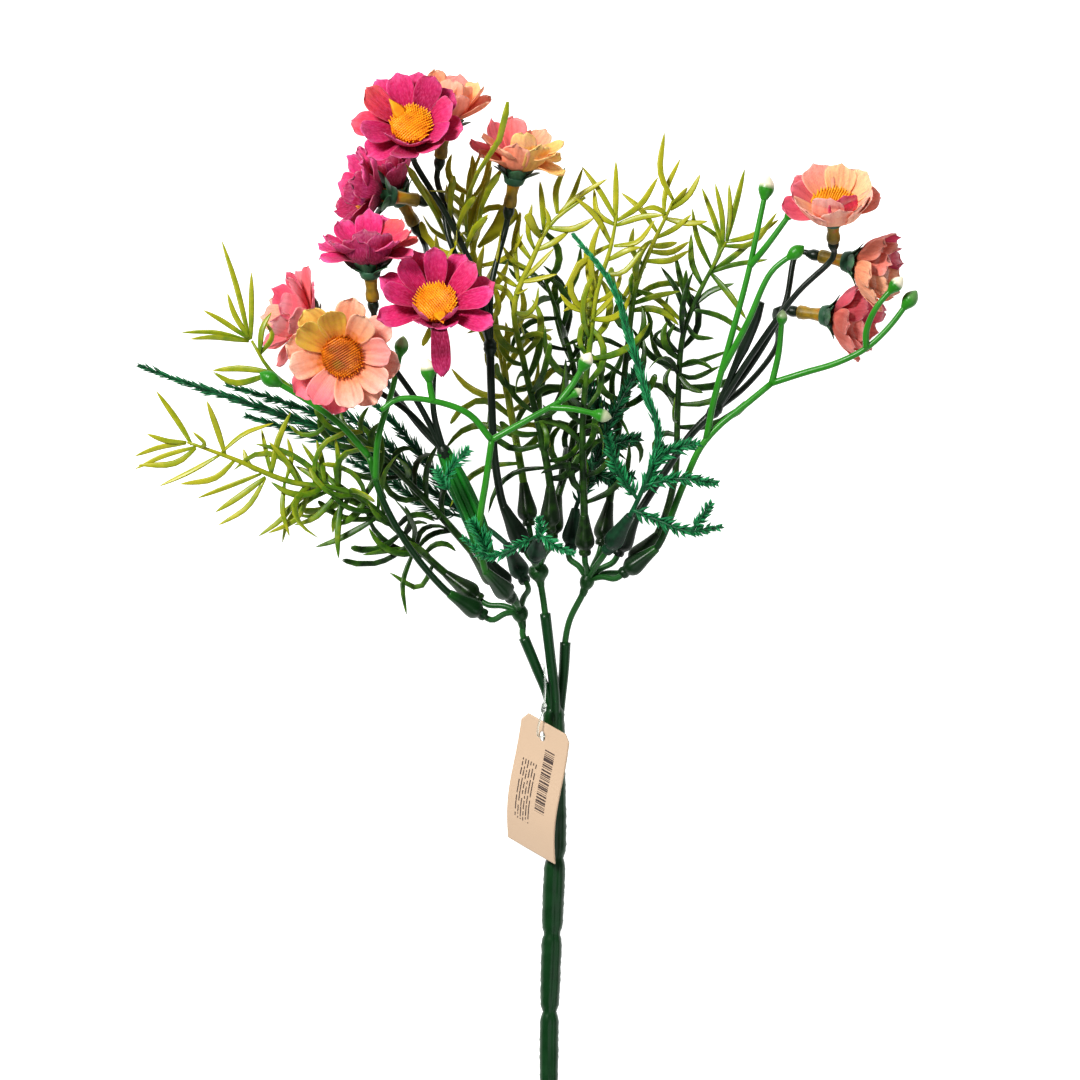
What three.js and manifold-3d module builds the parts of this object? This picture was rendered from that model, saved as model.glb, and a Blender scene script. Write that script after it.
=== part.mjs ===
// An artificial bunch of cosmos daisies, lying on its back on a flat surface.
//
// Millimetres. X runs across the bunch, Y along the stalk towards the blossoms, Z up from the surface.
// Shapes are first laid out from the cut end of the stalk (y = 0) and the whole bunch is then moved so
// that the origin is under the middle of its box.

import * as THREE from "three";
import { mergeVertices } from "three/addons/utils/BufferGeometryUtils.js";
import Module from "manifold-3d";

const wasm = await Module();
wasm.setup();

// ---- driving dimensions -------------------------------------------------------------------------

const GAP = 0.4; // running clearance between pieces that plug together
const STALK_WIDTH = 6.5; // across the two lobes
const STALK_DEPTH = 5.8;
const SLEEVE_RADIUS = 1.65;
const INNER_RADIUS = 1.0; // inner stems and twigs
const BULB_RADIUS = 2.6; // the sockets that sprays are pushed on with
const BULB_BORE_DEPTH = 4;
const CORE_RADIUS = 0.85; // middle stem of a spray
const BRANCH_RADIUS = 0.9; // the branch under a blossom
const FABRIC = 0.7; // thickness of a petal layer
const PETALS = 8; // petals in each of the two layers
const DISC_RADIUS = 6.2; // stamen disc
const SHANK_RADIUS = 2.1;
const SHANK_LENGTH = 12;
const SEPALS = 5;
const NEEDLE_RADIUS = 0.6;
const NEEDLE_BEND = 0.55; // how far the outer half of a needle turns forward
const FRONDLET_RADIUS = 0.5;
const TAG_THICKNESS = 0.6;
const TIE_RADIUS = 0.4;

const MATERIALS = {
  stalk: [0x14522a, 0.38],
  innerStem: [0x3f7a3a, 0.45],
  bloomStem: [0x16301f, 0.45],
  needle: [0x6f8f22, 0.45],
  fern: [0x1e7a4a, 0.5],
  budSprig: [0x3e9a32, 0.42],
  magenta: [0xd63c8c, 0.85],
  coral: [0xee8a6a, 0.85],
  peach: [0xf5a98c, 0.85],
  pink: [0xf08fa0, 0.85],
  stamen: [0xf5a51e, 0.5],
  sepal: [0x2f5d45, 0.55],
  paper: [0xf0d5bb, 0.8],
  nylon: [0xd8dcd8, 0.3],
};

// ---- small helpers ------------------------------------------------------------------------------

const at = (x, y, z) => new THREE.Vector3(x, y, z);
const moved = (point, direction, distance) => point.clone().addScaledVector(direction, distance);
const points = (...list) => list.map(([x, y, z]) => at(x, y, z));
const bunch = new THREE.Group();

// A repeatable run of numbers from 0 to 1.
function draws(seed) {
  let state = seed >>> 0;
  return () => {
    state = (state + 0x6d2b79f5) >>> 0;
    let t = Math.imul(state ^ (state >>> 15), state | 1);
    t ^= t + Math.imul(t ^ (t >>> 7), t | 61);
    return ((t ^ (t >>> 14)) >>> 0) / 4294967296;
  };
}

function solid(geometry) {
  const bare = geometry.clone();
  bare.deleteAttribute("normal");
  bare.deleteAttribute("uv");
  const merged = mergeVertices(bare, 1e-4);
  return new wasm.Manifold(
    new wasm.Mesh({
      numProp: 3,
      vertProperties: new Float32Array(merged.attributes.position.array),
      triVerts: new Uint32Array(merged.index.array),
    }),
  );
}

const fuse = (solids) => solids.reduce((joined, next) => joined.add(next));

const FUSED_FINENESS = 0.2; // edges shorter than this, left where pieces meet, are drawn together

const TOUCHING = 0.02;

// The largest body of a fused piece: loose scraps and sealed hollows are left out.
function wholeBody(joined) {
  return joined.decompose().sort((a, b) => b.volume() - a.volume())[0];
}

// The points and triangles of a body, with points that all but touch drawn into one.
function surfaceOf(body, fineness) {
  const mesh = (fineness > 0 ? body.asOriginal().simplify(fineness) : body).getMesh();
  const geometry = new THREE.BufferGeometry();
  const positions = new Float32Array((mesh.vertProperties.length / mesh.numProp) * 3);
  for (let i = 0; i < positions.length / 3; i += 1) {
    const first = i * mesh.numProp;
    positions.set(mesh.vertProperties.subarray(first, first + 3), i * 3);
  }
  geometry.setAttribute("position", new THREE.BufferAttribute(positions, 3));
  geometry.setIndex(new THREE.BufferAttribute(new Uint32Array(mesh.triVerts), 1));
  const drawn = mergeVertices(geometry, TOUCHING);
  const kept = [];
  for (let i = 0; i < drawn.index.count; i += 3) {
    const corners = [0, 1, 2].map((k) => drawn.index.getX(i + k));
    if (new Set(corners).size === 3) kept.push(...corners);
  }
  drawn.setIndex(kept);
  return drawn;
}

function add(name, materialName, joined, fineness = 0) {
  const geometry = surfaceOf(wholeBody(joined), fineness);
  geometry.computeVertexNormals();
  const [color, roughness] = MATERIALS[materialName];
  const node = new THREE.Mesh(geometry, new THREE.MeshStandardMaterial({ color, roughness, metalness: 0 }));
  node.name = name;
  bunch.add(node);
}

const smooth = (list) => new THREE.CatmullRomCurve3(list, false, "centripetal");

function mixed(list, t) {
  const place = t * (list.length - 1);
  const i = Math.min(Math.floor(place), list.length - 2);
  return list[i] + (list[i + 1] - list[i]) * (place - i);
}

// A round limb along a curve. radii are spread evenly from its start to its end. Its rings are evenly
// spaced, or, with atPoints, they stand at the points that the curve was given.
function limb(curve, radii, sides, steps, atPoints = false) {
  const geometry = new THREE.CylinderGeometry(1, 1, 1, sides, steps);
  const frames = curve.computeFrenetFrames(steps, false);
  const place = geometry.attributes.position;
  for (let i = 0; i < place.count; i += 1) {
    const t = Math.min(1, Math.max(0, place.getY(i) + 0.5));
    const ring = Math.round(t * steps);
    const angle = Math.atan2(place.getX(i), place.getZ(i));
    const reach = Math.hypot(place.getX(i), place.getZ(i)) * mixed(radii, t);
    const p = atPoints ? curve.getPoint(t) : curve.getPointAt(t);
    p.addScaledVector(frames.normals[ring], Math.sin(angle) * reach);
    p.addScaledVector(frames.binormals[ring], -Math.cos(angle) * reach);
    place.setXYZ(i, p.x, p.y, p.z);
  }
  return facingOut(geometry);
}

// Makes a solid of a closed geometry, turned so that its faces point out.
function facingOut(geometry) {
  const body = solid(geometry);
  if (body.volume() > 0) return body;
  const index = geometry.index;
  for (let i = 0; i < index.count; i += 3) {
    const first = index.getX(i);
    index.setX(i, index.getX(i + 1));
    index.setX(i + 1, first);
  }
  return solid(geometry);
}

const straight = (from, to) => smooth([from, from.clone().lerp(to, 0.5), to]);

// ---- what is already in place, for keeping leaves clear -------------------------------------------

const taken = []; // stretches of limbs: { a, b, radius, owner }
const heads = []; // blossoms: { hub, facing, reach, cup }

function take(owner, curve, radius, steps = 10) {
  const list = curve.getSpacedPoints(steps);
  for (let i = 0; i < steps; i += 1) taken.push({ a: list[i], b: list[i + 1], radius, owner });
}

// Shortest distance between two straight stretches.
function between(p, q, r, s) {
  const u = q.clone().sub(p);
  const v = s.clone().sub(r);
  const w = p.clone().sub(r);
  const a = u.dot(u);
  const b = u.dot(v);
  const c = v.dot(v);
  const d = u.dot(w);
  const e = v.dot(w);
  const clamp = (x) => Math.min(1, Math.max(0, x));
  let m = clamp((b * e - c * d) / Math.max(a * c - b * b, 1e-9));
  const n = clamp((b * m + e) / Math.max(c, 1e-9));
  m = clamp((b * n - d) / Math.max(a, 1e-9));
  return w.addScaledVector(u, m).addScaledVector(v, -n).length();
}

function insideHead(p, margin) {
  return heads.some(({ hub, facing, reach, cup, back }) => {
    const to = p.clone().sub(hub);
    const height = to.dot(facing);
    const out = Math.sqrt(Math.max(to.lengthSq() - height * height, 0));
    if (out < SHANK_RADIUS + 1 + margin && height < 2 && height > -SHANK_LENGTH - 3) return true;
    if (out > reach + 1 + margin || height < -5) return false;
    const front = out * Math.tan(cup * 1.2) + 3;
    const behind = out * Math.tan(back * 0.5) - 4;
    return height < front + margin && height > behind - margin;
  });
}

// True where a slim leaf along the given points would come too near something of another piece.
function blocked(owner, path, radius) {
  const margin = radius + 0.4;
  for (let i = 0; i < path.length - 1; i += 1) {
    const middle = path[i].clone().lerp(path[i + 1], 0.5);
    if (insideHead(path[i + 1], margin) || insideHead(middle, margin)) return true;
    for (const other of taken) {
      if (other.owner === owner) continue;
      if (between(path[i], path[i + 1], other.a, other.b) < other.radius + margin) return true;
    }
  }
  return path.some((p) => p.z < LOWEST_LEAF);
}

const LOWEST_LEAF = 2.5; // leaves stay this far above the surface that the bunch lies on

// ---- blossoms -----------------------------------------------------------------------------------

// hub: the middle of the petals. azimuth and tilt: which way the blossom faces, from straight up (tilt 0)
// towards azimuth, in degrees from +X. cup: how far the front petals rise. reach: how far they reach.
// rests: the blossom is set down until its lowest petal touches the surface.
const BLOOMS = [
  { color: "magenta", hub: [-39.7, 297, 70], azimuth: 95, tilt: 28, cup: 20, reach: 18, seed: 3 },
  { color: "coral", hub: [-29, 301, 43], azimuth: 80, tilt: 70, cup: 38, reach: 17, seed: 5 },
  { color: "magenta", hub: [-44.5, 279.5, 30], azimuth: 118, tilt: 72, cup: 46, reach: 15, seed: 8 },
  { color: "magenta", hub: [-49, 278, 49], azimuth: 172, tilt: 74, cup: 34, reach: 17, seed: 13 },
  { color: "magenta", hub: [-52.5, 256, 72], azimuth: 95, tilt: 68, cup: 34, reach: 18, seed: 21 },
  { color: "magenta", hub: [-32, 242, 72], azimuth: 90, tilt: 26, cup: 24, reach: 17.5, seed: 34 },
  { color: "peach", hub: [-61, 228, 64], azimuth: 250, tilt: 8, cup: 14, reach: 19, seed: 55 },
  { color: "pink", hub: [-72, 240, 12], azimuth: 165, tilt: 68, cup: 26, reach: 18, seed: 89, rests: true },
  { color: "coral", hub: [-7.5, 285.5, 50], azimuth: 80, tilt: 68, cup: 34, reach: 17.5, seed: 144 },
  { color: "pink", hub: [90.5, 272, 60], azimuth: 92, tilt: 44, cup: 22, reach: 17, seed: 233 },
  { color: "pink", hub: [98, 257, 40], azimuth: -12, tilt: 74, cup: 30, reach: 16, seed: 377 },
  { color: "pink", hub: [92, 241, 11], azimuth: -8, tilt: 72, cup: 28, reach: 16, seed: 610, rests: true },
];

const radians = THREE.MathUtils.degToRad;

// Moves a piece made round the Z axis to its place on a blossom.
function onBloom(bloom, body) {
  const side = at(0, 1, 0).cross(bloom.facing).normalize();
  const up = bloom.facing.clone().cross(side);
  const place = new THREE.Matrix4().makeBasis(side, up, bloom.facing).setPosition(bloom.hub);
  return body.transform(place.elements);
}

// The shape of a blade at the distance s from the middle: how far out, and how high.
function rise(s, reach, slope, curl) {
  const angle = slope + (curl * s) / reach;
  return [s * Math.cos(angle), s * Math.sin(angle)];
}

// Triangles between two lines of points that run the same way.
function zip(near, far) {
  const triangles = [];
  let i = 0;
  let j = 0;
  while (i < near.length - 1 || j < far.length - 1) {
    const nearShare = i < near.length - 1 ? (i + 0.5) / (near.length - 1) : 2;
    const farShare = j < far.length - 1 ? (j + 0.5) / (far.length - 1) : 2;
    if (farShare <= nearShare) {
      triangles.push([near[i], far[j], far[j + 1]]);
      j += 1;
    } else {
      triangles.push([near[i], far[j], near[i + 1]]);
      i += 1;
    }
  }
  return triangles;
}

// One or two die-cut layers with a hole, each a ring with blades, as one closed sheet. The layers share
// their ring, and the blades of the second stand between those of the first. A blade's rows are its share
// of the reach and the places of its points across; both faces of a blade have the same triangles.
function rosette({ blades, hole, ring, layers, ringRise, level, turn, next }) {
  const vertices = [];
  const triangles = [];
  const put = (out, across, height, around) => {
    const c = Math.cos(around);
    const s = Math.sin(around);
    vertices.push([out * c - across * s, out * s + across * c, height + level]);
    return vertices.length - 1;
  };
  const half = Math.PI / blades;
  const around = (j) => turn + j * half;
  const count = 2 * blades;
  const [ringOut, ringHeight] = ringRise;
  const holeCorner = hole / Math.cos(half); // so that the flats of the hole clear the shank
  const depths = [0];
  for (const layer of layers) depths.push(depths[depths.length - 1] + layer.ringThick);
  const rings = depths.map((depth) =>
    Array.from({ length: count }, (_, j) => put(ringOut, 0, ringHeight - depth, around(j))),
  );
  const bottom = depths[depths.length - 1];
  const holes = [0, bottom].map((depth) =>
    Array.from({ length: blades }, (_, k) => put(holeCorner, 0, -depth, around(2 * k))),
  );
  const face = (a, b, c, down) => triangles.push(down ? [a, c, b] : [a, b, c]);
  for (let k = 0; k < blades; k += 1) {
    const after = (k + 1) % blades;
    [rings[0], rings[rings.length - 1]].forEach((line, side) => {
      const [a, b, c] = [line[2 * k], line[2 * k + 1], line[(2 * k + 2) % count]];
      face(holes[side][k], a, b, side === 1);
      face(holes[side][k], b, holes[side][after], side === 1);
      face(holes[side][after], b, c, side === 1);
    });
    triangles.push([holes[0][k], holes[0][after], holes[1][after]]);
    triangles.push([holes[0][k], holes[1][after], holes[1][k]]);
  }
  layers.forEach(({ reach, rows, cup, curl, drop, thick, lift }, index) => {
    for (let k = 0; k < blades; k += 1) {
      const first = 2 * k + index;
      const middle = around(first + 1) + (next() - 0.5) * 0.1;
      const raised = next() * lift;
      const longer = reach * (1 - next() * 0.06);
      const faces = [0, 1].map((side) => {
        const ringLine = [0, 1, 2].map((j) => rings[index + side][(first + j) % count]);
        const lines = rows.map(([share, ...places]) => {
          const [out, height] = rise(share * longer, longer, cup + raised * share, curl);
          const low = height - side * thick;
          return places.map((across) => {
            const edge = Math.abs(across) / Math.max(...places, 1);
            return put(out - 0.16 * Math.abs(across), across, low - drop * edge, middle);
          });
        });
        return [ringLine, ...lines];
      });
      faces.forEach((lines, side) => {
        for (let row = 0; row < lines.length - 1; row += 1) {
          for (const [a, b, c] of zip(lines[row], lines[row + 1])) face(a, b, c, side === 1);
        }
      });
      const outline = faces.map((lines) => [
        ...lines.slice(0, -1).map((line) => line[0]),
        ...lines[lines.length - 1],
        ...lines.slice(0, -1).map((line) => line[line.length - 1]).reverse(),
      ]);
      for (let i = 0; i < outline[0].length - 1; i += 1) {
        const [a, b] = [outline[0][i], outline[0][i + 1]];
        const [c, d] = [outline[1][i], outline[1][i + 1]];
        triangles.push([a, c, d], [a, d, b]);
      }
    }
  });
  const geometry = new THREE.BufferGeometry();
  geometry.setAttribute("position", new THREE.Float32BufferAttribute(vertices.flat(), 3));
  geometry.setIndex(triangles.flat());
  return facingOut(geometry);
}

const PETAL_RING = 4.2;
const PETAL_CURL = radians(12);
const BACK_FLATTER = radians(9); // the back petals rise this much less than the front ones

const PETAL_LIFT = radians(8); // at most, from petal to petal
const PETAL_SHOULDER = 0.72; // where a petal is widest, as a share of its reach
const PETAL_SECTOR = 0.36; // a petal's half width by its distance out, so that it stays off the next one

// The rows of a petal, which is narrower where the blossom is less open and leaves it less room.
function petalRows(reach, slope, shoulder, tip) {
  const [out] = rise(PETAL_SHOULDER * reach, reach, slope, PETAL_CURL);
  const half = Math.min(shoulder, PETAL_SECTOR * out);
  return [[PETAL_SHOULDER, -half, half], [0.98, -tip, 0, tip]];
}

function petals(bloom) {
  const next = draws(bloom.seed);
  const cup = radians(bloom.cup);
  const wide = bloom.reach / 18;
  const shared = { curl: PETAL_CURL, drop: 0.8, thick: FABRIC, ringThick: FABRIC };
  const front = {
    ...shared,
    reach: bloom.reach,
    rows: petalRows(bloom.reach, cup + PETAL_LIFT, 4.5 * wide, 4.1 * wide),
    cup,
    lift: PETAL_LIFT,
  };
  const back = {
    ...shared,
    reach: bloom.reach * 1.02,
    rows: petalRows(bloom.reach, cup - BACK_FLATTER, 4.7 * wide, 4.3 * wide),
    cup: cup - BACK_FLATTER,
    lift: -PETAL_LIFT,
  };
  const both = rosette({
    blades: PETALS,
    hole: SHANK_RADIUS + GAP,
    ringRise: rise(PETAL_RING, bloom.reach, cup - BACK_FLATTER / 2, 0),
    layers: [front, back],
    level: 0,
    turn: next() * Math.PI,
    next,
  });
  return onBloom(bloom, both);
}

BLOOMS.forEach((bloom, index) => {
  bloom.name = `bloom_${index + 1}`;
  const tilt = radians(bloom.tilt);
  const azimuth = radians(bloom.azimuth);
  bloom.hub = at(...bloom.hub);
  bloom.facing = at(Math.sin(tilt) * Math.cos(azimuth), Math.sin(tilt) * Math.sin(azimuth), Math.cos(tilt));
  if (bloom.rests) bloom.hub.z -= petals(bloom).boundingBox().min[2];
  bloom.socket = moved(bloom.hub, bloom.facing, -SHANK_LENGTH);
  const cup = radians(bloom.cup);
  heads.push({ hub: bloom.hub, facing: bloom.facing, reach: bloom.reach, cup, back: cup - BACK_FLATTER });
});

// The disc is smaller and higher in a blossom that is less open.
function discOf(bloom) {
  const disc = DISC_RADIUS * (1 - 0.014 * Math.max(0, bloom.cup - 25));
  const neck = Math.max(1.8, PETAL_RING * Math.sin(radians(bloom.cup)) + 0.7);
  const edge = disc * Math.tan(radians(bloom.cup + 6)) + 1.2;
  return { disc, neck, edge: Math.max(edge, neck + 1) };
}

// The stamen disc stands on its shank, which goes down through the petals and the sepals.
function centre(bloom) {
  const sides = 8;
  const { disc, neck, edge } = discOf(bloom);
  const profile = [
    [0, -SHANK_LENGTH + 3.4],
    [BRANCH_RADIUS + GAP, -SHANK_LENGTH + 3.4],
    [BRANCH_RADIUS + GAP, -SHANK_LENGTH],
    [SHANK_RADIUS, -SHANK_LENGTH],
    [SHANK_RADIUS, neck],
    [disc, edge],
    [disc * 0.66, edge + 0.6],
    [disc * 0.33, edge + 1],
    [0, edge + 1.2],
  ].map(([r, z]) => new THREE.Vector2(r, z));
  const geometry = new THREE.LatheGeometry(profile, sides);
  const place = geometry.attributes.position;
  const firstStamen = 5;
  for (let i = 0; i < place.count; i += 1) {
    const row = i % profile.length;
    const column = Math.floor(i / profile.length);
    const raised = row >= firstStamen && row < profile.length - 1 && (row + column) % 2 === 0;
    place.setY(i, place.getY(i) + (raised ? 1.5 : 0));
  }
  geometry.rotateX(Math.PI / 2);
  add(`${bloom.name}_centre`, "stamen", onBloom(bloom, facingOut(geometry)));
}

function sepals(bloom) {
  const cup = radians(bloom.cup) - BACK_FLATTER - radians(14);
  const star = {
    reach: 8.2,
    rows: [[1, 0]],
    cup,
    curl: 0,
    drop: 0.1,
    thick: 0.8,
    ringThick: 2.6,
    lift: 0,
  };
  const leaves = rosette({
    blades: SEPALS,
    hole: SHANK_RADIUS + GAP,
    ringRise: rise(3.4, star.reach, cup, 0),
    layers: [star],
    level: -2 * FABRIC - GAP,
    turn: 0,
    next: draws(bloom.seed + 1),
  });
  add(`${bloom.name}_sepals`, "sepal", onBloom(bloom, leaves));
}

// ---- stalk, sleeves, inner stems ----------------------------------------------------------------

const STALK = points(
  [2.8, -1, 2.1], [2.8, 10, 2.1], [3, 24, 4.2], [3.4, 38, 6.6], [4.2, 60, 10.2],
  [4.8, 76, 12.8], [4.6, 98, 16.4], [4.2, 120, 20],
);
// Half widths along the stalk, as shares: it is pinched where its joints were moulded.
const STALK_PINCH = [
  0.6, 0.84, 0.86, 0.76, 0.92, 0.93, 0.78, 0.97, 1, 0.98, 0.84, 1, 1, 1, 0.97, 0.8,
];
// Each sleeve ends the stalk on its side, and holds an inner stem. An inner stem's own points start
// above its sleeve's mouth.
const FORKS = {
  left: {
    sleeve: points([3.6, 113, 19], [2.8, 121, 21], [-1, 131, 23.4], [-5, 140.7, 25]),
    stem: points([-5.4, 144, 25.6], [-6.2, 148, 26.5]),
  },
  middle: {
    sleeve: points([4.4, 113, 19.4], [4.6, 122, 22.2], [3.2, 135, 25.2], [1.6, 148.2, 27.6]),
    stem: points([0.8, 154, 28.4], [-0.4, 161, 29.6]),
  },
  right: {
    sleeve: points([5, 113, 18], [6.4, 121, 18.6], [7.4, 130, 19.2], [7.9, 139.2, 19.8]),
    stem: points([9.4, 146.5, 20.8], [13.4, 154.5, 22.4], [14.6, 158, 23]),
  },
};

function stalk() {
  // Two lobes with a crease between them along the top.
  const lobes = (angle) => {
    const upward = Math.max(0, Math.cos(angle));
    return 1 - 0.2 * upward ** 6;
  };
  const curve = smooth(STALK);
  const steps = STALK_PINCH.length - 1;
  const geometry = new THREE.CylinderGeometry(1, 1, 1, 10, steps);
  const place = geometry.attributes.position;
  for (let i = 0; i < place.count; i += 1) {
    const t = Math.min(1, Math.max(0, place.getY(i) + 0.5));
    const angle = Math.atan2(place.getX(i), place.getZ(i));
    const round = Math.hypot(place.getX(i), place.getZ(i)) * mixed(STALK_PINCH, t) * lobes(angle);
    const p = curve.getPointAt(t);
    p.x += (Math.sin(angle) * round * STALK_WIDTH) / 2;
    p.z += (Math.cos(angle) * round * STALK_DEPTH) / 2;
    place.setXYZ(i, p.x, p.y, p.z);
  }
  let joined = facingOut(geometry);
  take("stalk", curve, STALK_WIDTH / 2 + 0.3, 12);
  for (const { sleeve, stem } of Object.values(FORKS)) {
    const path = smooth(sleeve);
    joined = joined.add(limb(path, [SLEEVE_RADIUS * 1.1, SLEEVE_RADIUS, SLEEVE_RADIUS], 7, 4));
    take("stalk", path, SLEEVE_RADIUS, 6);
    const end = sleeve[sleeve.length - 1];
    const inward = path.getTangentAt(1).negate();
    const mouth = straight(moved(end, inward, -1), moved(end, inward, 5));
    joined = joined.subtract(limb(mouth, [INNER_RADIUS + GAP, INNER_RADIUS + GAP], 8, 1));
    stem.unshift(moved(end, inward, 3.5), moved(end, inward, -1));
  }
  // The small flat that the stalk's end rests on.
  const below = new THREE.BoxGeometry(20, 60, 10).translate(2.8, 20, -5);
  add("main_stalk", "stalk", joined.subtract(solid(below)));
}

// ---- sprays: each is pushed with its bulb on a twig of a fork -------------------------------------

// base and tip of each bulb, and the fork whose twig holds it.
const BULBS = {
  flowers_left: { fork: "left", base: [-9.4, 155.5, 31], tip: [-16, 164.5, 36] },
  flowers_top: { fork: "middle", base: [-4.4, 168, 33], tip: [-11, 181, 38] },
  flowers_right: { fork: "right", base: [24, 166.5, 26], tip: [29.5, 177.5, 28] },
  needles_left_low: { fork: "left", base: [-18.3, 152.4, 24], tip: [-28.6, 160, 22] },
  needles_left_high: { fork: "left", base: [-12.5, 156.5, 19], tip: [-20.5, 166.5, 16] },
  needles_top: { fork: "middle", base: [-3.4, 175.5, 25], tip: [-5, 188, 25] },
  needles_middle: { fork: "middle", base: [3.1, 173.6, 33], tip: [3.2, 187, 35] },
  needles_centre: { fork: "middle", base: [3.6, 171.5, 20], tip: [5.5, 184, 15] },
  needles_right_tall: { fork: "right", base: [14, 166.5, 29], tip: [13.8, 178, 32] },
  needles_right_back: { fork: "right", base: [19, 169.5, 16], tip: [21.5, 182, 15] },
  needles_right: { fork: "right", base: [27.5, 163, 18], tip: [36, 172, 17] },
  fern_left: { fork: "left", base: [-4.6, 158, 17], tip: [-10, 169, 11] },
  fern_right: { fork: "right", base: [20.6, 167.5, 34], tip: [27.5, 178, 42] },
  fern_low: { fork: "middle", base: [-1.4, 165, 38], tip: [-0.6, 171, 46] },
  fern_dark: { fork: "right", base: [9.4, 168, 22], tip: [11, 180, 21] },
  buds_front: { fork: "left", base: [-8.6, 152.6, 37], tip: [-16.4, 161, 47] },
  buds_right: { fork: "right", base: [25.4, 160.5, 29], tip: [35.5, 168, 33] },
  buds_left: { fork: "left", base: [-17, 147.5, 29], tip: [-27.5, 154, 32] },
};

for (const bulb of Object.values(BULBS)) {
  bulb.base = at(...bulb.base);
  bulb.tip = at(...bulb.tip);
  bulb.along = bulb.tip.clone().sub(bulb.base).normalize();
}

function forks() {
  for (const [side, { stem }] of Object.entries(FORKS)) {
    const owner = `${side}_fork`;
    const path = smooth(stem);
    const top = stem[stem.length - 1];
    const along = path.getTangentAt(1);
    const cup = straight(moved(top, along, -4.5), moved(top, along, 2.5));
    const pieces = [limb(path, [INNER_RADIUS, INNER_RADIUS], 6, 5), limb(cup, [1.1, 2.4, 3.1, 2.7], 7, 3)];
    take(owner, path, INNER_RADIUS, 5);
    take(owner, cup, 3.2, 2);
    const tip = moved(top, along, 1.5);
    for (const bulb of Object.values(BULBS)) {
      if (bulb.fork !== side) continue;
      const foot = moved(bulb.base, bulb.along, -2.5);
      const head = moved(bulb.base, bulb.along, BULB_BORE_DEPTH - 0.6);
      const start = top.clone().lerp(tip, 0.5);
      const mid = start.clone().lerp(foot, 0.5).addScaledVector(along, 0.8);
      const twig = smooth([start, mid, foot, head]);
      pieces.push(limb(twig, [INNER_RADIUS, INNER_RADIUS, INNER_RADIUS, 0.8], 5, 3));
      take(owner, twig, INNER_RADIUS, 6);
    }
    add(owner, "innerStem", fuse(pieces), FUSED_FINENESS);
  }
}

// The bulb of a spray, which its middle stem grows out of.
function bulbSolid(name) {
  const { base, tip, along } = BULBS[name];
  const curve = straight(base, moved(tip, along, 1));
  take(name, curve, BULB_RADIUS, 3);
  const mouth = straight(moved(base, along, -1), moved(base, along, BULB_BORE_DEPTH));
  return {
    body: limb(curve, [1.75, BULB_RADIUS, 2.3, 1.1], 6, 3),
    bore: limb(mouth, [INNER_RADIUS + GAP, INNER_RADIUS + GAP], 5, 1),
  };
}

// A spray's middle stem: from inside its bulb through the given points.
function core(name, list, radii, steps) {
  const { tip, along } = BULBS[name];
  const curve = smooth([moved(tip, along, -3), moved(tip, along, 1), ...list]);
  take(name, curve, radii[0], Math.max(10, steps));
  return { curve, body: limb(curve, radii, 4, steps) };
}

// ---- flower sprays -----------------------------------------------------------------------------

function branch(name, from, bloom, ...through) {
  const socket = bloom.socket;
  const curve = smooth([
    from,
    ...points(...through),
    moved(socket, bloom.facing, -7),
    moved(socket, bloom.facing, -2.5),
    moved(socket, bloom.facing, 2.6),
  ]);
  take(name, curve, BRANCH_RADIUS, 12);
  return limb(curve, [BRANCH_RADIUS, BRANCH_RADIUS], 5, curve.points.length - 1, true);
}

const bloomNamed = (number) => BLOOMS[number - 1];

function flowerSprays() {
  const sprays = {
    flowers_left: {
      stem: points([-19.5, 175, 41], [-25, 188, 47], [-30, 199, 51]),
      branches: [
        [5, [-38, 214, 56], [-48, 229, 60]],
        [6, [-33, 212, 56]],
        [7, [-41, 211, 50], [-55, 221, 46]],
        [8, [-37, 206, 42], [-50, 224, 22]],
      ],
    },
    flowers_top: {
      stem: points([-14, 196, 42], [-15, 214, 44], [-15.5, 232, 44]),
      branches: [
        [1, [-18, 248, 48], [-28, 270, 53]],
        [2, [-20, 252, 42], [-28, 272, 40]],
        [3, [-22, 248, 38], [-34, 258, 33]],
        [4, [-19, 244, 47], [-28, 264, 47]],
        [9, [-15, 250, 45]],
      ],
    },
    flowers_right: {
      stem: points([38, 191, 30], [47, 204, 32], [55, 212, 33]),
      branches: [
        [10, [66, 229, 38], [80, 248, 44]],
        [11, [66, 226, 33], [76, 244, 37]],
        [12, [64, 219, 27], [74, 232, 18]],
      ],
    },
  };
  for (const [name, { stem, branches }] of Object.entries(sprays)) {
    const { body, bore } = bulbSolid(name);
    const middle = core(name, stem, [1.15, 1.15], 5);
    const joint = stem[stem.length - 1];
    const pieces = [body, middle.body];
    const below = joint.clone().lerp(stem[stem.length - 2], 0.35);
    const collar = straight(below, moved(joint, middle.curve.getTangentAt(1), 1.5));
    pieces.push(limb(collar, [1.4, 2.1, 1.9, 1.2], 7, 3));
    for (const [number, ...through] of branches) {
      pieces.push(branch(name, joint, bloomNamed(number), ...through));
    }
    if (name === "flowers_right") {
      // A branch end that has lost its blossom.
      const bare = smooth([joint, ...points([61, 226, 37], [65.5, 236, 40], [68.5, 245, 42])]);
      take(name, bare, 1.6, 6);
      pieces.push(limb(bare, [0.9, 0.9, 1.4, 1.6, 1.5], 6, 4));
    }
    add(name, "bloomStem", fuse(pieces).subtract(bore), FUSED_FINENESS);
  }
}

// ---- needle sprigs ------------------------------------------------------------------------------

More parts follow.
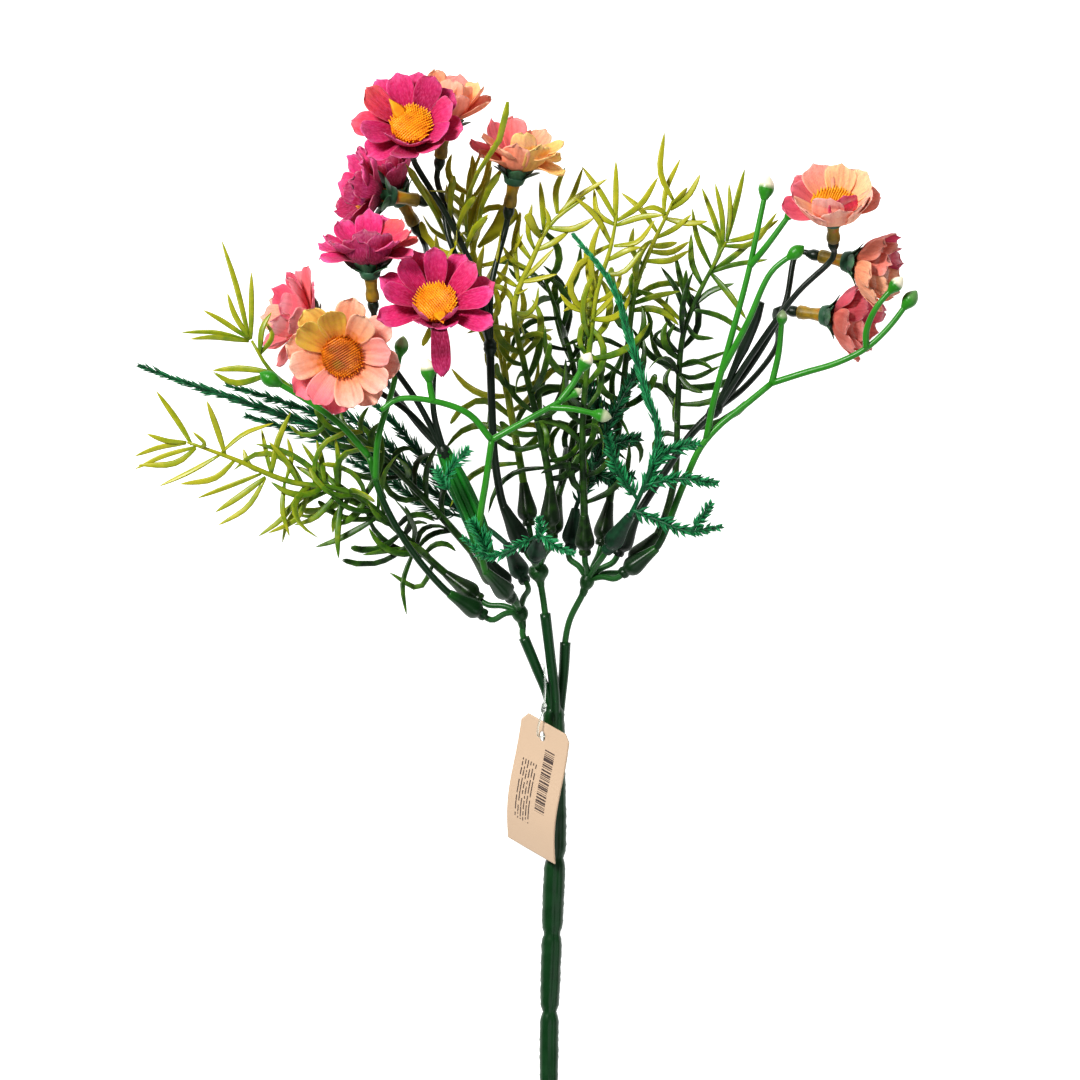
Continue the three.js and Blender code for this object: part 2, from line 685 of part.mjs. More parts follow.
// A slim bent needle from its root, along a first direction and bending towards another.
function slimLeaf(root, first, bend, length, radius) {
  const knee = moved(root, first, length / 2);
  const end = moved(knee, moved(first, bend, NEEDLE_BEND).normalize(), length / 2);
  const geometry = new THREE.ConeGeometry(1, 1, 3, 2);
  const place = geometry.attributes.position;
  const axis = [root, knee, end];
  const sideways = first.clone().cross(at(0, 0, 1)).normalize();
  const upwards = sideways.clone().cross(first).normalize();
  for (let i = 0; i < place.count; i += 1) {
    const row = Math.round((place.getY(i) + 0.5) * 2);
    const share = row === 0 ? 1 : 2;
    const p = axis[row].clone();
    p.addScaledVector(sideways, place.getX(i) * radius * share);
    p.addScaledVector(upwards, place.getZ(i) * radius * share);
    place.setXYZ(i, p.x, p.y, p.z);
  }
  return { body: () => facingOut(geometry), path: axis };
}

// Needles along a curve, leaning forward, turned round it by a rule.
function needlesAlong({ name, curve, from, count, length, seed, radius, lean, flat, needles }) {
  const next = draws(seed);
  for (let k = 0; k < count; k += 1) {
    const t = from + ((1 - from) * (k + 0.5)) / count;
    const root = curve.getPointAt(t);
    const ahead = curve.getTangentAt(t);
    const sideways = ahead.clone().cross(at(0, 0, 1)).normalize();
    const upwards = sideways.clone().cross(ahead).normalize();
    for (let attempt = 0; attempt < 14; attempt += 1) {
      const turn = (k % 2) * Math.PI + (next() - 0.5) * (1.4 + attempt * 0.25);
      const out = sideways.clone().multiplyScalar(Math.cos(turn));
      out.addScaledVector(upwards, Math.sin(turn) * flat);
      const angle = radians(lean + (next() - 0.5) * 24);
      const forward = ahead.clone().multiplyScalar(Math.cos(angle));
      const first = moved(forward, out, Math.sin(angle)).normalize();
      const size = length * (0.75 + next() * 0.5) * (attempt < 8 ? 1 : 0.7);
      const leaf = slimLeaf(root, first, ahead, size, radius);
      const clear = [root.clone().lerp(leaf.path[1], 0.3), leaf.path[1], leaf.path[2]];
      if (blocked(name, clear, radius)) continue;
      needles.push(leaf.body());
      taken.push({ a: root, b: leaf.path[1], radius, owner: name });
      taken.push({ a: leaf.path[1], b: leaf.path[2], radius, owner: name });
      break;
    }
  }
}

// through: the middle stem's points. sides: side stems, each from a share of the middle stem.
const NEEDLE_SPRIGS = {
  needles_left_low: {
    through: [
      [-42, 172, 27], [-58.6, 185.7, 33], [-78.4, 189.4, 38],
      [-94.9, 196.2, 41], [-109.4, 201.5, 43], [-123, 199, 44],
    ],
    from: 0.16, count: 26, length: 11.5, seed: 41, lean: 42,
  },
  needles_left_high: {
    through: [
      [-36, 184, 20], [-56, 203, 30], [-76, 217.3, 36],
      [-84, 225, 38], [-90.2, 234, 39], [-96, 245, 40],
    ],
    from: 0.3, count: 15, length: 9.5, seed: 12, lean: 44,
  },
  needles_top: {
    through: [
      [-8.5, 208, 24], [-12, 228, 25], [-18, 250, 28],
      [-22, 268, 31], [-21, 284, 34], [-14, 300, 37],
    ],
    from: 0.2, count: 16, length: 11, seed: 13, lean: 34,
  },
  needles_middle: {
    through: [[0, 205, 36], [-5, 226, 37], [-8, 244, 38], [-2.5, 258, 40], [3.1, 269, 41], [10.2, 278, 42]],
    from: 0.16, count: 16, length: 9.5, seed: 14, lean: 42,
  },
  needles_centre: {
    through: [[10, 200, 14], [11, 222, 14], [6, 240, 15], [1, 254, 17]],
    from: 0.1, count: 15, length: 11, seed: 15, lean: 44,
  },
  needles_right_tall: {
    through: [
      [13.3, 208.3, 36], [15.5, 232, 39], [17.7, 248.6, 41],
      [21.7, 261, 42], [23.9, 271.9, 43], [23.3, 286, 44],
    ],
    from: 0.14, count: 16, length: 10, seed: 16, lean: 42,
  },
  needles_right_back: {
    through: [
      [24.8, 208, 17], [27.4, 232, 20], [30, 250.5, 23],
      [35, 263, 25], [39.7, 272.8, 27], [41, 285, 28],
    ],
    from: 0.2, count: 17, length: 10.5, seed: 17, lean: 44,
  },
  needles_right: {
    through: [
      [42, 190, 17], [43, 212, 18], [44.6, 235, 20],
      [49, 246.8, 22], [53.6, 255.8, 24], [61, 271, 27],
    ],
    from: 0.24, count: 16, length: 11, seed: 18, lean: 44,
  },
};

function needleSprigs() {
  for (const [name, sprig] of Object.entries(NEEDLE_SPRIGS)) {
    const { body, bore } = bulbSolid(name);
    sprig.middle = core(name, points(...sprig.through), [CORE_RADIUS * 1.2, CORE_RADIUS, 0.45], 9);
    sprig.pieces = [body, sprig.middle.body];
    sprig.bore = bore;
  }
}

function growNeedles() {
  for (const [name, sprig] of Object.entries(NEEDLE_SPRIGS)) {
    const { middle, pieces, bore } = sprig;
    needlesAlong({ ...sprig, name, curve: middle.curve, radius: NEEDLE_RADIUS, flat: 0.55, needles: pieces });
    add(name, "needle", fuse(pieces).subtract(bore), FUSED_FINENESS);
  }
}

// ---- fern fronds --------------------------------------------------------------------------------

const FERNS = {
  fern_left: {
    through: [
      [-24, 180, 10], [-38.4, 189.4, 11], [-60.8, 202.7, 14],
      [-85.9, 212, 17], [-111.3, 220.4, 19], [-125.6, 225.7, 20],
    ],
    sides: [], from: 0.2, count: 24, length: 6, seed: 31,
  },
  fern_right: {
    through: [
      [33, 190, 50], [36.5, 203, 55], [33, 216, 58],
      [28.2, 231.9, 60], [22, 250.2, 60], [10.5, 265, 60],
    ],
    sides: [
      [[32.4, 188, 49], [43, 190, 53], [54.9, 188.8, 55]],
      [[28.6, 180.5, 44], [37, 177, 47], [45.6, 173.9, 49], [56.1, 175.2, 50]],
    ],
    from: 0.3, count: 18, length: 5, seed: 32,
  },
  fern_low: {
    through: [[-1, 174, 50], [3.5, 170, 52], [10.5, 166.8, 53]],
    sides: [[[-0.8, 172.6, 49], [-7, 169, 52], [-15.5, 166, 53], [-24, 172, 54]]],
    from: 0.25, count: 8, length: 3.6, seed: 33,
  },
  fern_dark: {
    through: [[15, 190, 23], [20, 203, 27], [25, 214, 29], [31, 226, 29]],
    sides: [], from: 0.15, count: 15, length: 6.5, seed: 34,
  },
};

function fernSolids() {
  for (const [name, frond] of Object.entries(FERNS)) {
    const { body, bore } = bulbSolid(name);
    const middle = core(name, points(...frond.through), [CORE_RADIUS, 0.75, 0.45], 8);
    frond.bore = bore;
    frond.pieces = [body, middle.body];
    frond.curves = [{ curve: middle.curve, from: frond.from, count: frond.count }];
    for (const side of frond.sides) {
      const curve = smooth(points(...side));
      take(name, curve, 0.6, 6);
      frond.pieces.push(limb(curve, [0.7, 0.6, 0.4], 4, 4));
      frond.curves.push({ curve, from: 0.15, count: Math.round(frond.count * 0.36) });
    }
  }
}

function growFerns() {
  for (const [name, { pieces, bore, curves, length, seed }] of Object.entries(FERNS)) {
    curves.forEach(({ curve, from, count }, i) => {
      const rule = { name, curve, from, count, length, seed: seed + i * 100, lean: 52 };
      needlesAlong({ ...rule, radius: FRONDLET_RADIUS, flat: 0.8, needles: pieces });
    });
    add(name, "fern", fuse(pieces).subtract(bore), FUSED_FINENESS);
  }
}

// ---- bud sprigs ---------------------------------------------------------------------------------

// stems: point lists, each starting on the middle stem or on an earlier stem. A stem with a bud size
// carries a bud on its end.
const BUD_SPRIGS = {
  buds_front: {
    through: [[-18.6, 176, 56], [-16.6, 190, 61], [-14.9, 202, 63]],
    stems: [
      {
        path: [
          [-14.9, 202, 63], [-22, 210, 65], [-33, 214, 66],
          [-44, 214.5, 66], [-49, 211, 66],
        ],
        bud: 0,
      },
      { path: [[-33, 214, 66], [-34, 219, 66.5], [-34.5, 223.5, 67]], bud: 2.4 },
      { path: [[-14.9, 202, 63], [-6, 207, 64], [3, 212, 64], [11, 216.5, 63]], bud: 1.5 },
      { path: [[6, 213.8, 63.8], [10, 219, 64], [14, 226, 65]], bud: 2.2 },
      { path: [[3, 212, 64], [10, 211.5, 66], [19, 209.5, 67]], bud: 2.1 },
    ],
  },
  buds_right: {
    through: [[44, 187, 40], [49.9, 200, 43], [56, 207, 44], [63, 212.5, 44], [71.9, 219.8, 43]],
    stems: [
      {
        path: [
          [51.5, 202.2, 43.2], [54, 215, 48], [58.6, 231.9, 52],
          [64, 252, 54], [67.5, 268, 55], [70, 280, 55],
        ],
        bud: 2.5,
      },
      { path: [[65, 256, 54.2], [70, 262, 57], [77, 271.5, 59]], bud: 1.4 },
      { path: [[56, 223, 50], [64, 238, 56], [71.5, 254, 59], [79, 260, 60]], bud: 2.1 },
      { path: [[71.9, 219.8, 43], [74, 229, 44], [75, 240, 47]], bud: 1.7 },
      {
        path: [
          [71.9, 219.8, 43], [82, 223, 45], [92, 226, 48],
          [101, 230.5, 50], [108, 237, 51], [114.5, 245.5, 52],
        ],
        bud: 2.3,
      },
      { path: [[101, 230.5, 50], [101, 236, 53], [104, 243, 56], [110, 250, 57]], bud: 2.1 },
    ],
  },
  buds_left: {
    through: [[-40, 168, 38], [-49, 184, 42], [-53, 197, 45]],
    stems: [
      { path: [[-53, 197, 45], [-62, 207, 48], [-74, 215.5, 50], [-83.5, 221, 52]], bud: 2.5 },
      { path: [[-51, 190, 43.6], [-50, 203, 52], [-45.6, 218, 53.5], [-42.8, 231, 57]], bud: 2.2 },
    ],
  },
};

function bud(curve, radius) {
  const end = curve.getPointAt(1);
  const along = curve.getTangentAt(1);
  const start = moved(end, along, -radius * 0.9);
  const finish = moved(end, along, radius * 1.5);
  const shares = [0.4, 0.92, 1, 0.85, 0.35];
  return limb(straight(start, finish), shares.map((share) => share * radius), 6, 3);
}

function budSolids() {
  for (const [name, sprig] of Object.entries(BUD_SPRIGS)) {
    const { body, bore } = bulbSolid(name);
    const middle = core(name, points(...sprig.through), [1.05, 1, 0.95], 6);
    const pieces = [body, middle.body];
    for (const { path, bud: size } of sprig.stems) {
      const curve = smooth(points(...path));
      take(name, curve, 0.95, 8);
      pieces.push(limb(curve, [1, 0.9], 4, Math.max(2, path.length - 1)));
      if (size > 0) {
        pieces.push(bud(curve, size));
        const end = curve.getPointAt(1);
        const top = moved(end, curve.getTangentAt(1), size);
        taken.push({ a: end, b: top, radius: size, owner: name });
      }
    }
    add(name, "budSprig", fuse(pieces).subtract(bore), FUSED_FINENESS);
  }
}

// ---- hang tag and its tie -----------------------------------------------------------------------

// Corners from the hole's end: the tag leans, so that its right edge stands further up than its left.
const TAG = {
  corner: at(-5.3, 118, 17.4), across: at(14.6, -8, 17), along: at(-4.6, -40, -13),
  hole: [0.46, 0.11], holeRadius: 1.6, bow: 1.6, rows: 6, columns: 1,
};

function tag() {
  const { corner, across, along, hole, holeRadius, bow, rows, columns } = TAG;
  const normal = across.clone().cross(along).negate().normalize();
  const sheet = new THREE.BoxGeometry(1, 1, 1, columns, rows, 1);
  const place = sheet.attributes.position;
  for (let i = 0; i < place.count; i += 1) {
    const u = place.getX(i) + 0.5;
    const v = 0.5 - place.getY(i);
    const p = moved(corner, across, u).addScaledVector(along, v);
    const bend = bow * (Math.sin(Math.PI * v) - 0.4 * Math.sin(2 * Math.PI * v));
    p.addScaledVector(normal, place.getZ(i) * TAG_THICKNESS + bend);
    place.setXYZ(i, p.x, p.y, p.z);
  }
  const middle = moved(corner, across, hole[0]).addScaledVector(along, hole[1]);
  const through = straight(moved(middle, normal, -3), moved(middle, normal, 4));
  const punched = facingOut(sheet).subtract(limb(through, [holeRadius, holeRadius], 8, 1));
  add("hang_tag", "paper", punched);
  for (let row = 0; row < 5; row += 1) {
    const left = moved(corner, along, row / 4);
    taken.push({ a: left, b: left.clone().add(across), radius: 4, owner: "hang_tag" });
  }
}

function tagTie() {
  const ring = new THREE.CatmullRomCurve3(
    points(
      [1.2, 118.4, 27.5], [1.6, 126, 27.4], [1.2, 131.4, 25.6], [0.2, 132.4, 20.6], [-3.2, 129, 18],
      [-2.6, 122, 18.5], [-0.9, 117, 20.2], [1, 112.6, 21.9], [2.1, 110.2, 22.9], [0.9, 109.9, 23.8],
      [-0.5, 109.8, 25.2], [-0.6, 113, 27],
    ),
    true,
    "centripetal",
  );
  const list = ring.getSpacedPoints(28);
  const open = smooth(list.slice(0, 28));
  const seam = straight(list[26].clone(), list[1].clone());
  const knob = straight(at(0.9, 117.2, 27.5), at(1.4, 120.4, 27.6));
  const pieces = [
    limb(open, [TIE_RADIUS, TIE_RADIUS], 4, 20),
    limb(seam, [TIE_RADIUS * 1.2, TIE_RADIUS * 1.2], 5, 1),
    limb(knob, [0.5, 0.95, 0.95, 0.5], 6, 3),
  ];
  add("tag_tie", "nylon", fuse(pieces), FUSED_FINENESS / 2);
}

// ---- the whole bunch ----------------------------------------------------------------------------

stalk();
forks();
flowerSprays();
budSolids();
tag();
tagTie();
needleSprigs();
fernSolids();
growFerns();
growNeedles();
for (const bloom of BLOOMS) {
  add(`${bloom.name}_petals`, bloom.color, petals(bloom));
  centre(bloom);
  sepals(bloom);
}

const box = new THREE.Box3().setFromObject(bunch);
bunch.position.set(-(box.min.x + box.max.x) / 2, -(box.min.y + box.max.y) / 2, -box.min.z);

export default bunch;
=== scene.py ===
# An artificial bunch of cosmos daisies, laid on a pale table and seen from straight above.
#
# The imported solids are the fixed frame. Every piece here stands for one of them and keeps its place.
# Shapes are laid out in millimetres from the cut end of the stalk, as the solids were: X across the
# bunch, Y along the stalk towards the blossoms, Z up from the table. A heap turns them to metres.

import math
from collections import namedtuple

import bpy
import numpy as np
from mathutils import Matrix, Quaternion, Vector


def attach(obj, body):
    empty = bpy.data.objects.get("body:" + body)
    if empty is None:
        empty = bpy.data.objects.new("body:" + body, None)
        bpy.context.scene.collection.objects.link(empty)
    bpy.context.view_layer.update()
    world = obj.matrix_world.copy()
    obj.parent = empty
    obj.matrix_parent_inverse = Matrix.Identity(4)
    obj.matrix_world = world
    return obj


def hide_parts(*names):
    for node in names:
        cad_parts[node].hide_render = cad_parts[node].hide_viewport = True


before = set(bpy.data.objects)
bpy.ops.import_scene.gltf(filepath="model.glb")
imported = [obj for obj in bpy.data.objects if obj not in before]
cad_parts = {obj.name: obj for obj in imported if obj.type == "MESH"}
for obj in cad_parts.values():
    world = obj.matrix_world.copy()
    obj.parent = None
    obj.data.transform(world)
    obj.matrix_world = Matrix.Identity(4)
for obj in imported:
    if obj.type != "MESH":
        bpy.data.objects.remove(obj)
bpy.ops.object.select_all(action="DESELECT")
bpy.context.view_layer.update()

MM = 0.001
PIXEL = 0.31  # millimetres of the bunch for one pixel of the photograph
PHOTO_MIDDLE = 540  # the pixel row and column of the photograph's middle
PHOTO_FOOT = 1092  # the pixel row where the stalk's end lies
LAID = np.array([6.377, -157.811, 0.0])  # from the stalk's end to under the middle of the bunch
UP = Vector((0, 0, 1))


def from_photo(across, down, height=0.0):
    """A place on the bunch, in millimetres, from the pixels where the photograph shows it."""
    return Vector(((across - PHOTO_MIDDLE) * PIXEL, (PHOTO_FOOT - down) * PIXEL, height))


# ---- camera, light and table ---------------------------------------------------------------------

LENS = 400.0
SENSOR = 36.0
PHOTO_SIDE = 1080 * PIXEL * MM  # what the photograph's frame covers
MIDDLE_HEIGHT = 0.045  # of the blossoms and leaves, where the framing is exact
DISTANCE = PHOTO_SIDE * LENS / SENSOR
# Soft boxes: name, place and side in metres, watts and colour. The strong one is at the upper left.
LIGHTS = [
    ("key_light", (-0.7, 0.75, 1.3), 0.32, 31, (1.0, 0.985, 0.96)),
    ("fill_light", (0.7, -0.9, 1.1), 1.4, 7, (0.95, 0.98, 1.0)),
]
TABLE_SIZE = 12  # metres, past every edge of the picture
TABLE_TOP = -0.4 * MM  # just clear of the stalk that lies on it


def set_camera():
    """A long lens straight above the bunch, so that the sides of the picture lean hardly at all."""
    bpy.ops.object.camera_add(rotation=(0, 0, 0))
    camera = bpy.context.object
    camera.name = "straight_above"
    aim = (np.array(from_photo(PHOTO_MIDDLE, PHOTO_MIDDLE)) + LAID) * MM
    camera.location = (aim[0], aim[1], MIDDLE_HEIGHT + DISTANCE)
    camera.data.lens = LENS
    camera.data.sensor_width = SENSOR
    camera.data.clip_end = 20
    bpy.context.scene.camera = camera


def linear(colour, alpha=1.0):
    """An sRGB hex colour as the linear values that a socket takes."""
    values = [int(colour[i : i + 2], 16) / 255 for i in (1, 3, 5)]
    turned = [v / 12.92 if v <= 0.04045 else ((v + 0.055) / 1.055) ** 2.4 for v in values]
    return (*turned, alpha)


# What a node gives to the next one: the first of these outputs that it has.
OUTPUTS = ("Object", "Result", "Value", "Fac", "Color", "Normal", "Vector", "UV")


def join(tree, node, inputs):
    """Links a node's inputs where a socket or another node is given, and fixes their values elsewhere."""
    for name, value in inputs.items():
        if isinstance(value, bpy.types.Node):
            value = next(value.outputs[kind] for kind in OUTPUTS if kind in value.outputs)
        if isinstance(value, bpy.types.NodeSocket):
            tree.links.new(value, node.inputs[name])
        else:
            node.inputs[name].default_value = value
    return node


def add_node(tree, kind, inputs=None, **settings):
    """Adds a node with its settings, its fixed inputs and its links."""
    made = tree.nodes.new(f"ShaderNode{kind}")
    for name, value in settings.items():
        setattr(made, name, value)
    return join(tree, made, inputs or {})


def new_material(name):
    """A material with its node tree and its surface node."""
    made = bpy.data.materials.new(name)
    made.use_nodes = True
    return made, made.node_tree, made.node_tree.nodes["Principled BSDF"]


def set_lights():
    """A strong soft box, a wide weak one and a faint air, for shadows that are soft and short."""
    for name, place, size, watts, colour in LIGHTS:
        bpy.ops.object.light_add(type="AREA", location=place)
        lamp = bpy.context.object
        lamp.name = name
        lamp.data.shape = "SQUARE"
        lamp.data.size = size
        lamp.data.energy = watts
        lamp.data.color = colour
        lamp.rotation_euler = (-Vector(place)).to_track_quat("-Z", "Y").to_euler()
    world = bpy.data.worlds.new("studio_air")
    bpy.context.scene.world = world
    world.use_nodes = True
    air = world.node_tree
    join(air, air.nodes["Background"], {"Color": linear("#FBFCFF"), "Strength": 0.2})
    # The photograph is contrasty, with full colours on pure white.
    bpy.context.scene.view_settings.view_transform = "Standard"
    bpy.context.scene.view_settings.look = "Medium High Contrast"


def set_table():
    """A sheet of opal acrylic, lit from under: matt, and nearly white of itself, with soft shadows."""
    bpy.ops.mesh.primitive_plane_add(size=TABLE_SIZE, location=(0, 0, TABLE_TOP))
    table = bpy.context.object
    table.name = "table"
    paint, tree, surface = new_material("white_lit_acrylic_sheet")
    join(tree, surface, {
        "Base Color": linear("#B4B4B4"), "Roughness": 0.8,
        "Emission Color": linear("#FFFFFF"), "Emission Strength": 0.86,
    })
    table.data.materials.append(paint)


set_camera()
set_lights()
set_table()


# ---- materials -----------------------------------------------------------------------------------
# Noise on the pieces' own coordinates is scaled in metres, and on flat cloth and card in millimetres.


def set_ramp(ramp, stops):
    """Gives a colour ramp its stops: (place, hex colour)."""
    elements = ramp.color_ramp.elements
    for index, (place, colour) in enumerate(stops):
        stop = elements[index] if index < 2 else elements.new(place)
        stop.position = place
        stop.color = linear(colour)
    return ramp


def taken_unevenly(tree, mark, patches, low, shift):
    """A mark of the surface, from 0 to 1, moved up or down in patches where the dye took unevenly."""
    moved = add_node(
        tree, "MapRange",
        {"Value": patches, "From Min": low, "From Max": 1 - low, "To Min": -shift, "To Max": shift},
    )
    share = add_node(tree, "Attribute", attribute_name=mark)
    return add_node(tree, "Math", {0: share, 1: moved}, operation="ADD", use_clamp=True)


def moulded_green(name, dark, light, roughness, waviness=0.25, turns=()):
    """Polyethylene, injection moulded: softly glossy, faintly clouded, with fine flow lines.

    Each turn is a mark of the surface and the colour that it turns to as the mark goes from 0 to 1.
    """
    made, tree, surface = new_material(name)
    where = add_node(tree, "TexCoord")
    # Clouds about 6 mm across.
    clouds = add_node(tree, "TexNoise", {"Vector": where, "Scale": 180.0, "Detail": 3.0})
    colour = add_node(
        tree, "Mix", {"Factor": clouds, "A": linear(dark), "B": linear(light)}, data_type="RGBA"
    )
    for mark, far in turns:
        share = add_node(tree, "Attribute", attribute_name=mark)
        colour = add_node(tree, "Mix", {"Factor": share, "A": colour, "B": linear(far)}, data_type="RGBA")
    # Flow lines and the faint dimples of the mould, about 0.7 mm apart.
    lines = add_node(tree, "TexNoise", {"Vector": where, "Scale": 1400.0, "Detail": 2.0})
    relief = add_node(tree, "Bump", {"Height": lines, "Strength": waviness, "Distance": 0.00012})
    shine = add_node(
        tree, "MapRange", {"Value": clouds, "To Min": roughness - 0.07, "To Max": roughness + 0.09}
    )
    join(tree, surface, {
        "Base Color": colour, "Normal": relief, "Roughness": shine, "IOR": 1.5, "Specular IOR Level": 0.34,
    })
    return made


def dyed_foliage(name, stops, roughness):
    """Polyethylene leaves, moulded dark and dip-dyed towards their tips: the tone mark picks the dye, with
    painted highlights along leaf edges and painted light on shaded leaves.
    """
    made, tree, surface = new_material(name)
    where = add_node(tree, "TexCoord")
    # The dye took unevenly, in patches about 3 mm across.
    patches = add_node(tree, "TexNoise", {"Vector": where, "Scale": 330.0, "Detail": 2.0})
    place = taken_unevenly(tree, "tone", patches, 0.3, 0.13)
    dye = set_ramp(add_node(tree, "ValToRGB", {"Fac": place}), stops)
    # The grain of the mould, about 0.7 mm.
    grain = add_node(tree, "TexNoise", {"Vector": where, "Scale": 1500.0, "Detail": 2.0})
    relief = add_node(tree, "Bump", {"Height": grain, "Strength": 0.2, "Distance": 0.0001})
    shine = add_node(
        tree, "MapRange", {"Value": patches, "To Min": roughness - 0.08, "To Max": roughness + 0.1}
    )
    join(tree, surface, {
        "Base Color": dye, "Normal": relief, "Roughness": shine, "IOR": 1.5, "Specular IOR Level": 0.36,
    })
    return made


THREAD = 0.42  # mm between threads; the real cloth's 0.2 mm is too fine to show from here
WAVE = 0.31  # how far apart a wave texture's bands are at a scale of 1


def petal_cloth(name, body, second, third, fleck_and_sheen_colour, fleck_and_sheen_strength):
    """Polyester taffeta, dyed, heat pressed and die cut: a dull sheen, a fine weave, pressed creases.

    body, second and third are the stops of the dye from the middle of the blossom to the petal's end.
    The tint mark of a petal turns it towards the second dye (over 0) or the third one (under 0). On the
    magenta cloth the third is a darker magenta: painted shade.
    The last two are the colour and strength of short streaks: on the magenta a lighter pink, painted
    highlight along the ribs; on the other colours, flecks of another dye.
    """
    made, tree, surface = new_material(name)
    flat = add_node(tree, "UVMap", uv_map="UVMap")
    # Blots of dye about 2 mm across, where the cloth is cockled too.
    blots = add_node(tree, "TexNoise", {"Vector": flat, "Scale": 0.55, "Detail": 4.0, "Roughness": 0.65})
    place = taken_unevenly(tree, "along", blots, 0.25, 0.12)
    colour, *others = [
        set_ramp(add_node(tree, "ValToRGB", {"Fac": place}), stops) for stops in (body, second, third)
    ]
    tint = add_node(tree, "Attribute", attribute_name="tint")
    for dye, way in zip(others, (1.0, -1.0)):
        amount = add_node(tree, "Math", {0: tint, 1: way}, operation="MULTIPLY", use_clamp=True)
        colour = add_node(tree, "Mix", {"Factor": amount, "A": colour, "B": dye}, data_type="RGBA")
    # Painted shade darkens the pressed creases, broken into specks of about 0.3 mm.
    speck = add_node(tree, "TexNoise", {"Vector": flat, "Scale": 3.2, "Detail": 3.0})
    crease = add_node(tree, "Attribute", attribute_name="crease")
    depth = add_node(tree, "Math", {0: crease, 1: speck}, operation="MULTIPLY")
    colour = add_node(
        tree, "Mix", {"Factor": depth, "A": colour, "B": linear("#C08A96")},
        data_type="RGBA", blend_type="MULTIPLY",
    )
    # Short streaks along the petal, about half a millimetre wide: on the magenta a lighter pink, painted
    # highlight along the ribs of the velvet; on the other colours, flecks of another dye.
    combed = add_node(tree, "Mapping", {"Vector": flat, "Scale": (1.0, 0.28, 1.0)})
    fleck = add_node(tree, "TexNoise", {"Vector": combed, "Scale": 2.6, "Detail": 4.0})
    strong = add_node(
        tree, "MapRange", {"Value": fleck, "From Min": 0.44, "From Max": 0.72, "To Max": fleck_and_sheen_strength}
    )
    colour = add_node(
        tree, "Mix", {"Factor": strong, "A": colour, "B": linear(fleck_and_sheen_colour)}, data_type="RGBA"
    )
    # Painted highlight: the petal's cut rim is made paler, as light catching its edge.
    across = add_node(tree, "Attribute", attribute_name="across")
    rim = add_node(tree, "MapRange", {"Value": across, "From Min": 0.94, "To Max": 0.14})
    colour = add_node(tree, "Mix", {"Factor": rim, "A": colour, "B": linear("#FBD3D0")}, data_type="RGBA")
    # Warp and weft: two crossed waves on the flat cloth.
    warp, weft = [
        add_node(
            tree, "TexWave", {"Vector": flat, "Scale": WAVE / THREAD, "Distortion": 0.6, "Detail": 1.0},
            bands_direction=direction,
        )
        for direction in ("X", "Y")
    ]
    weave = add_node(tree, "Math", {0: warp, 1: weft}, operation="MULTIPLY")
    cloth = add_node(tree, "Bump", {"Height": weave, "Strength": 0.5, "Distance": 0.00012})
    lumps = add_node(
        tree, "Bump", {"Height": blots, "Strength": 0.35, "Distance": 0.0005, "Normal": cloth}
    )
    join(tree, surface, {
        "Base Color": colour, "Normal": lumps, "Roughness": 0.78, "Specular IOR Level": 0.22,
        "Sheen Weight": 0.08, "Sheen Roughness": 0.45, "Subsurface Weight": 0.22,
        "Subsurface Radius": (1.0, 0.45, 0.4), "Subsurface Scale": 0.0012,
    })
    return made


def stamen_plastic():
    """Soft moulded vinyl: translucent yellow points over an orange bed."""
    made, tree, surface = new_material("stamen_moulded_vinyl")
    where = add_node(tree, "TexCoord")
    # The dye took unevenly, in patches about 4 mm across.
    patches = add_node(tree, "TexNoise", {"Vector": where, "Scale": 260.0, "Detail": 2.0})
    place = taken_unevenly(tree, "along", patches, 0.3, 0.15)
    stops = (
        (0.0, "#665410"), (0.22, "#967812"), (0.4, "#AA5206"), (0.55, "#D47C0A"), (0.7, "#E4940E"),
        (1.0, "#F4B424"),
    )
    dye = set_ramp(add_node(tree, "ValToRGB", {"Fac": place}), stops)
    # The grain of the mould, about 0.5 mm.
    grain = add_node(tree, "TexNoise", {"Vector": where, "Scale": 2200.0})
    relief = add_node(tree, "Bump", {"Height": grain, "Strength": 0.2, "Distance": 0.0001})
    join(tree, surface, {
        "Base Color": dye, "Normal": relief, "Roughness": 0.5, "Subsurface Weight": 0.15,
        "Subsurface Radius": (1.0, 0.5, 0.1), "Subsurface Scale": 0.001,
    })
    return made


# Where the tag is printed, in millimetres from a top corner of the card: left, right, top and bottom.
BARS_BLOCK = (13.4, 18.2, 8.0, 28.0)
RULES_BLOCK = (3.9, 11.0, 14.0, 33.5)
RULE_STEP = 1.3
RULE_WIDTH = 0.5


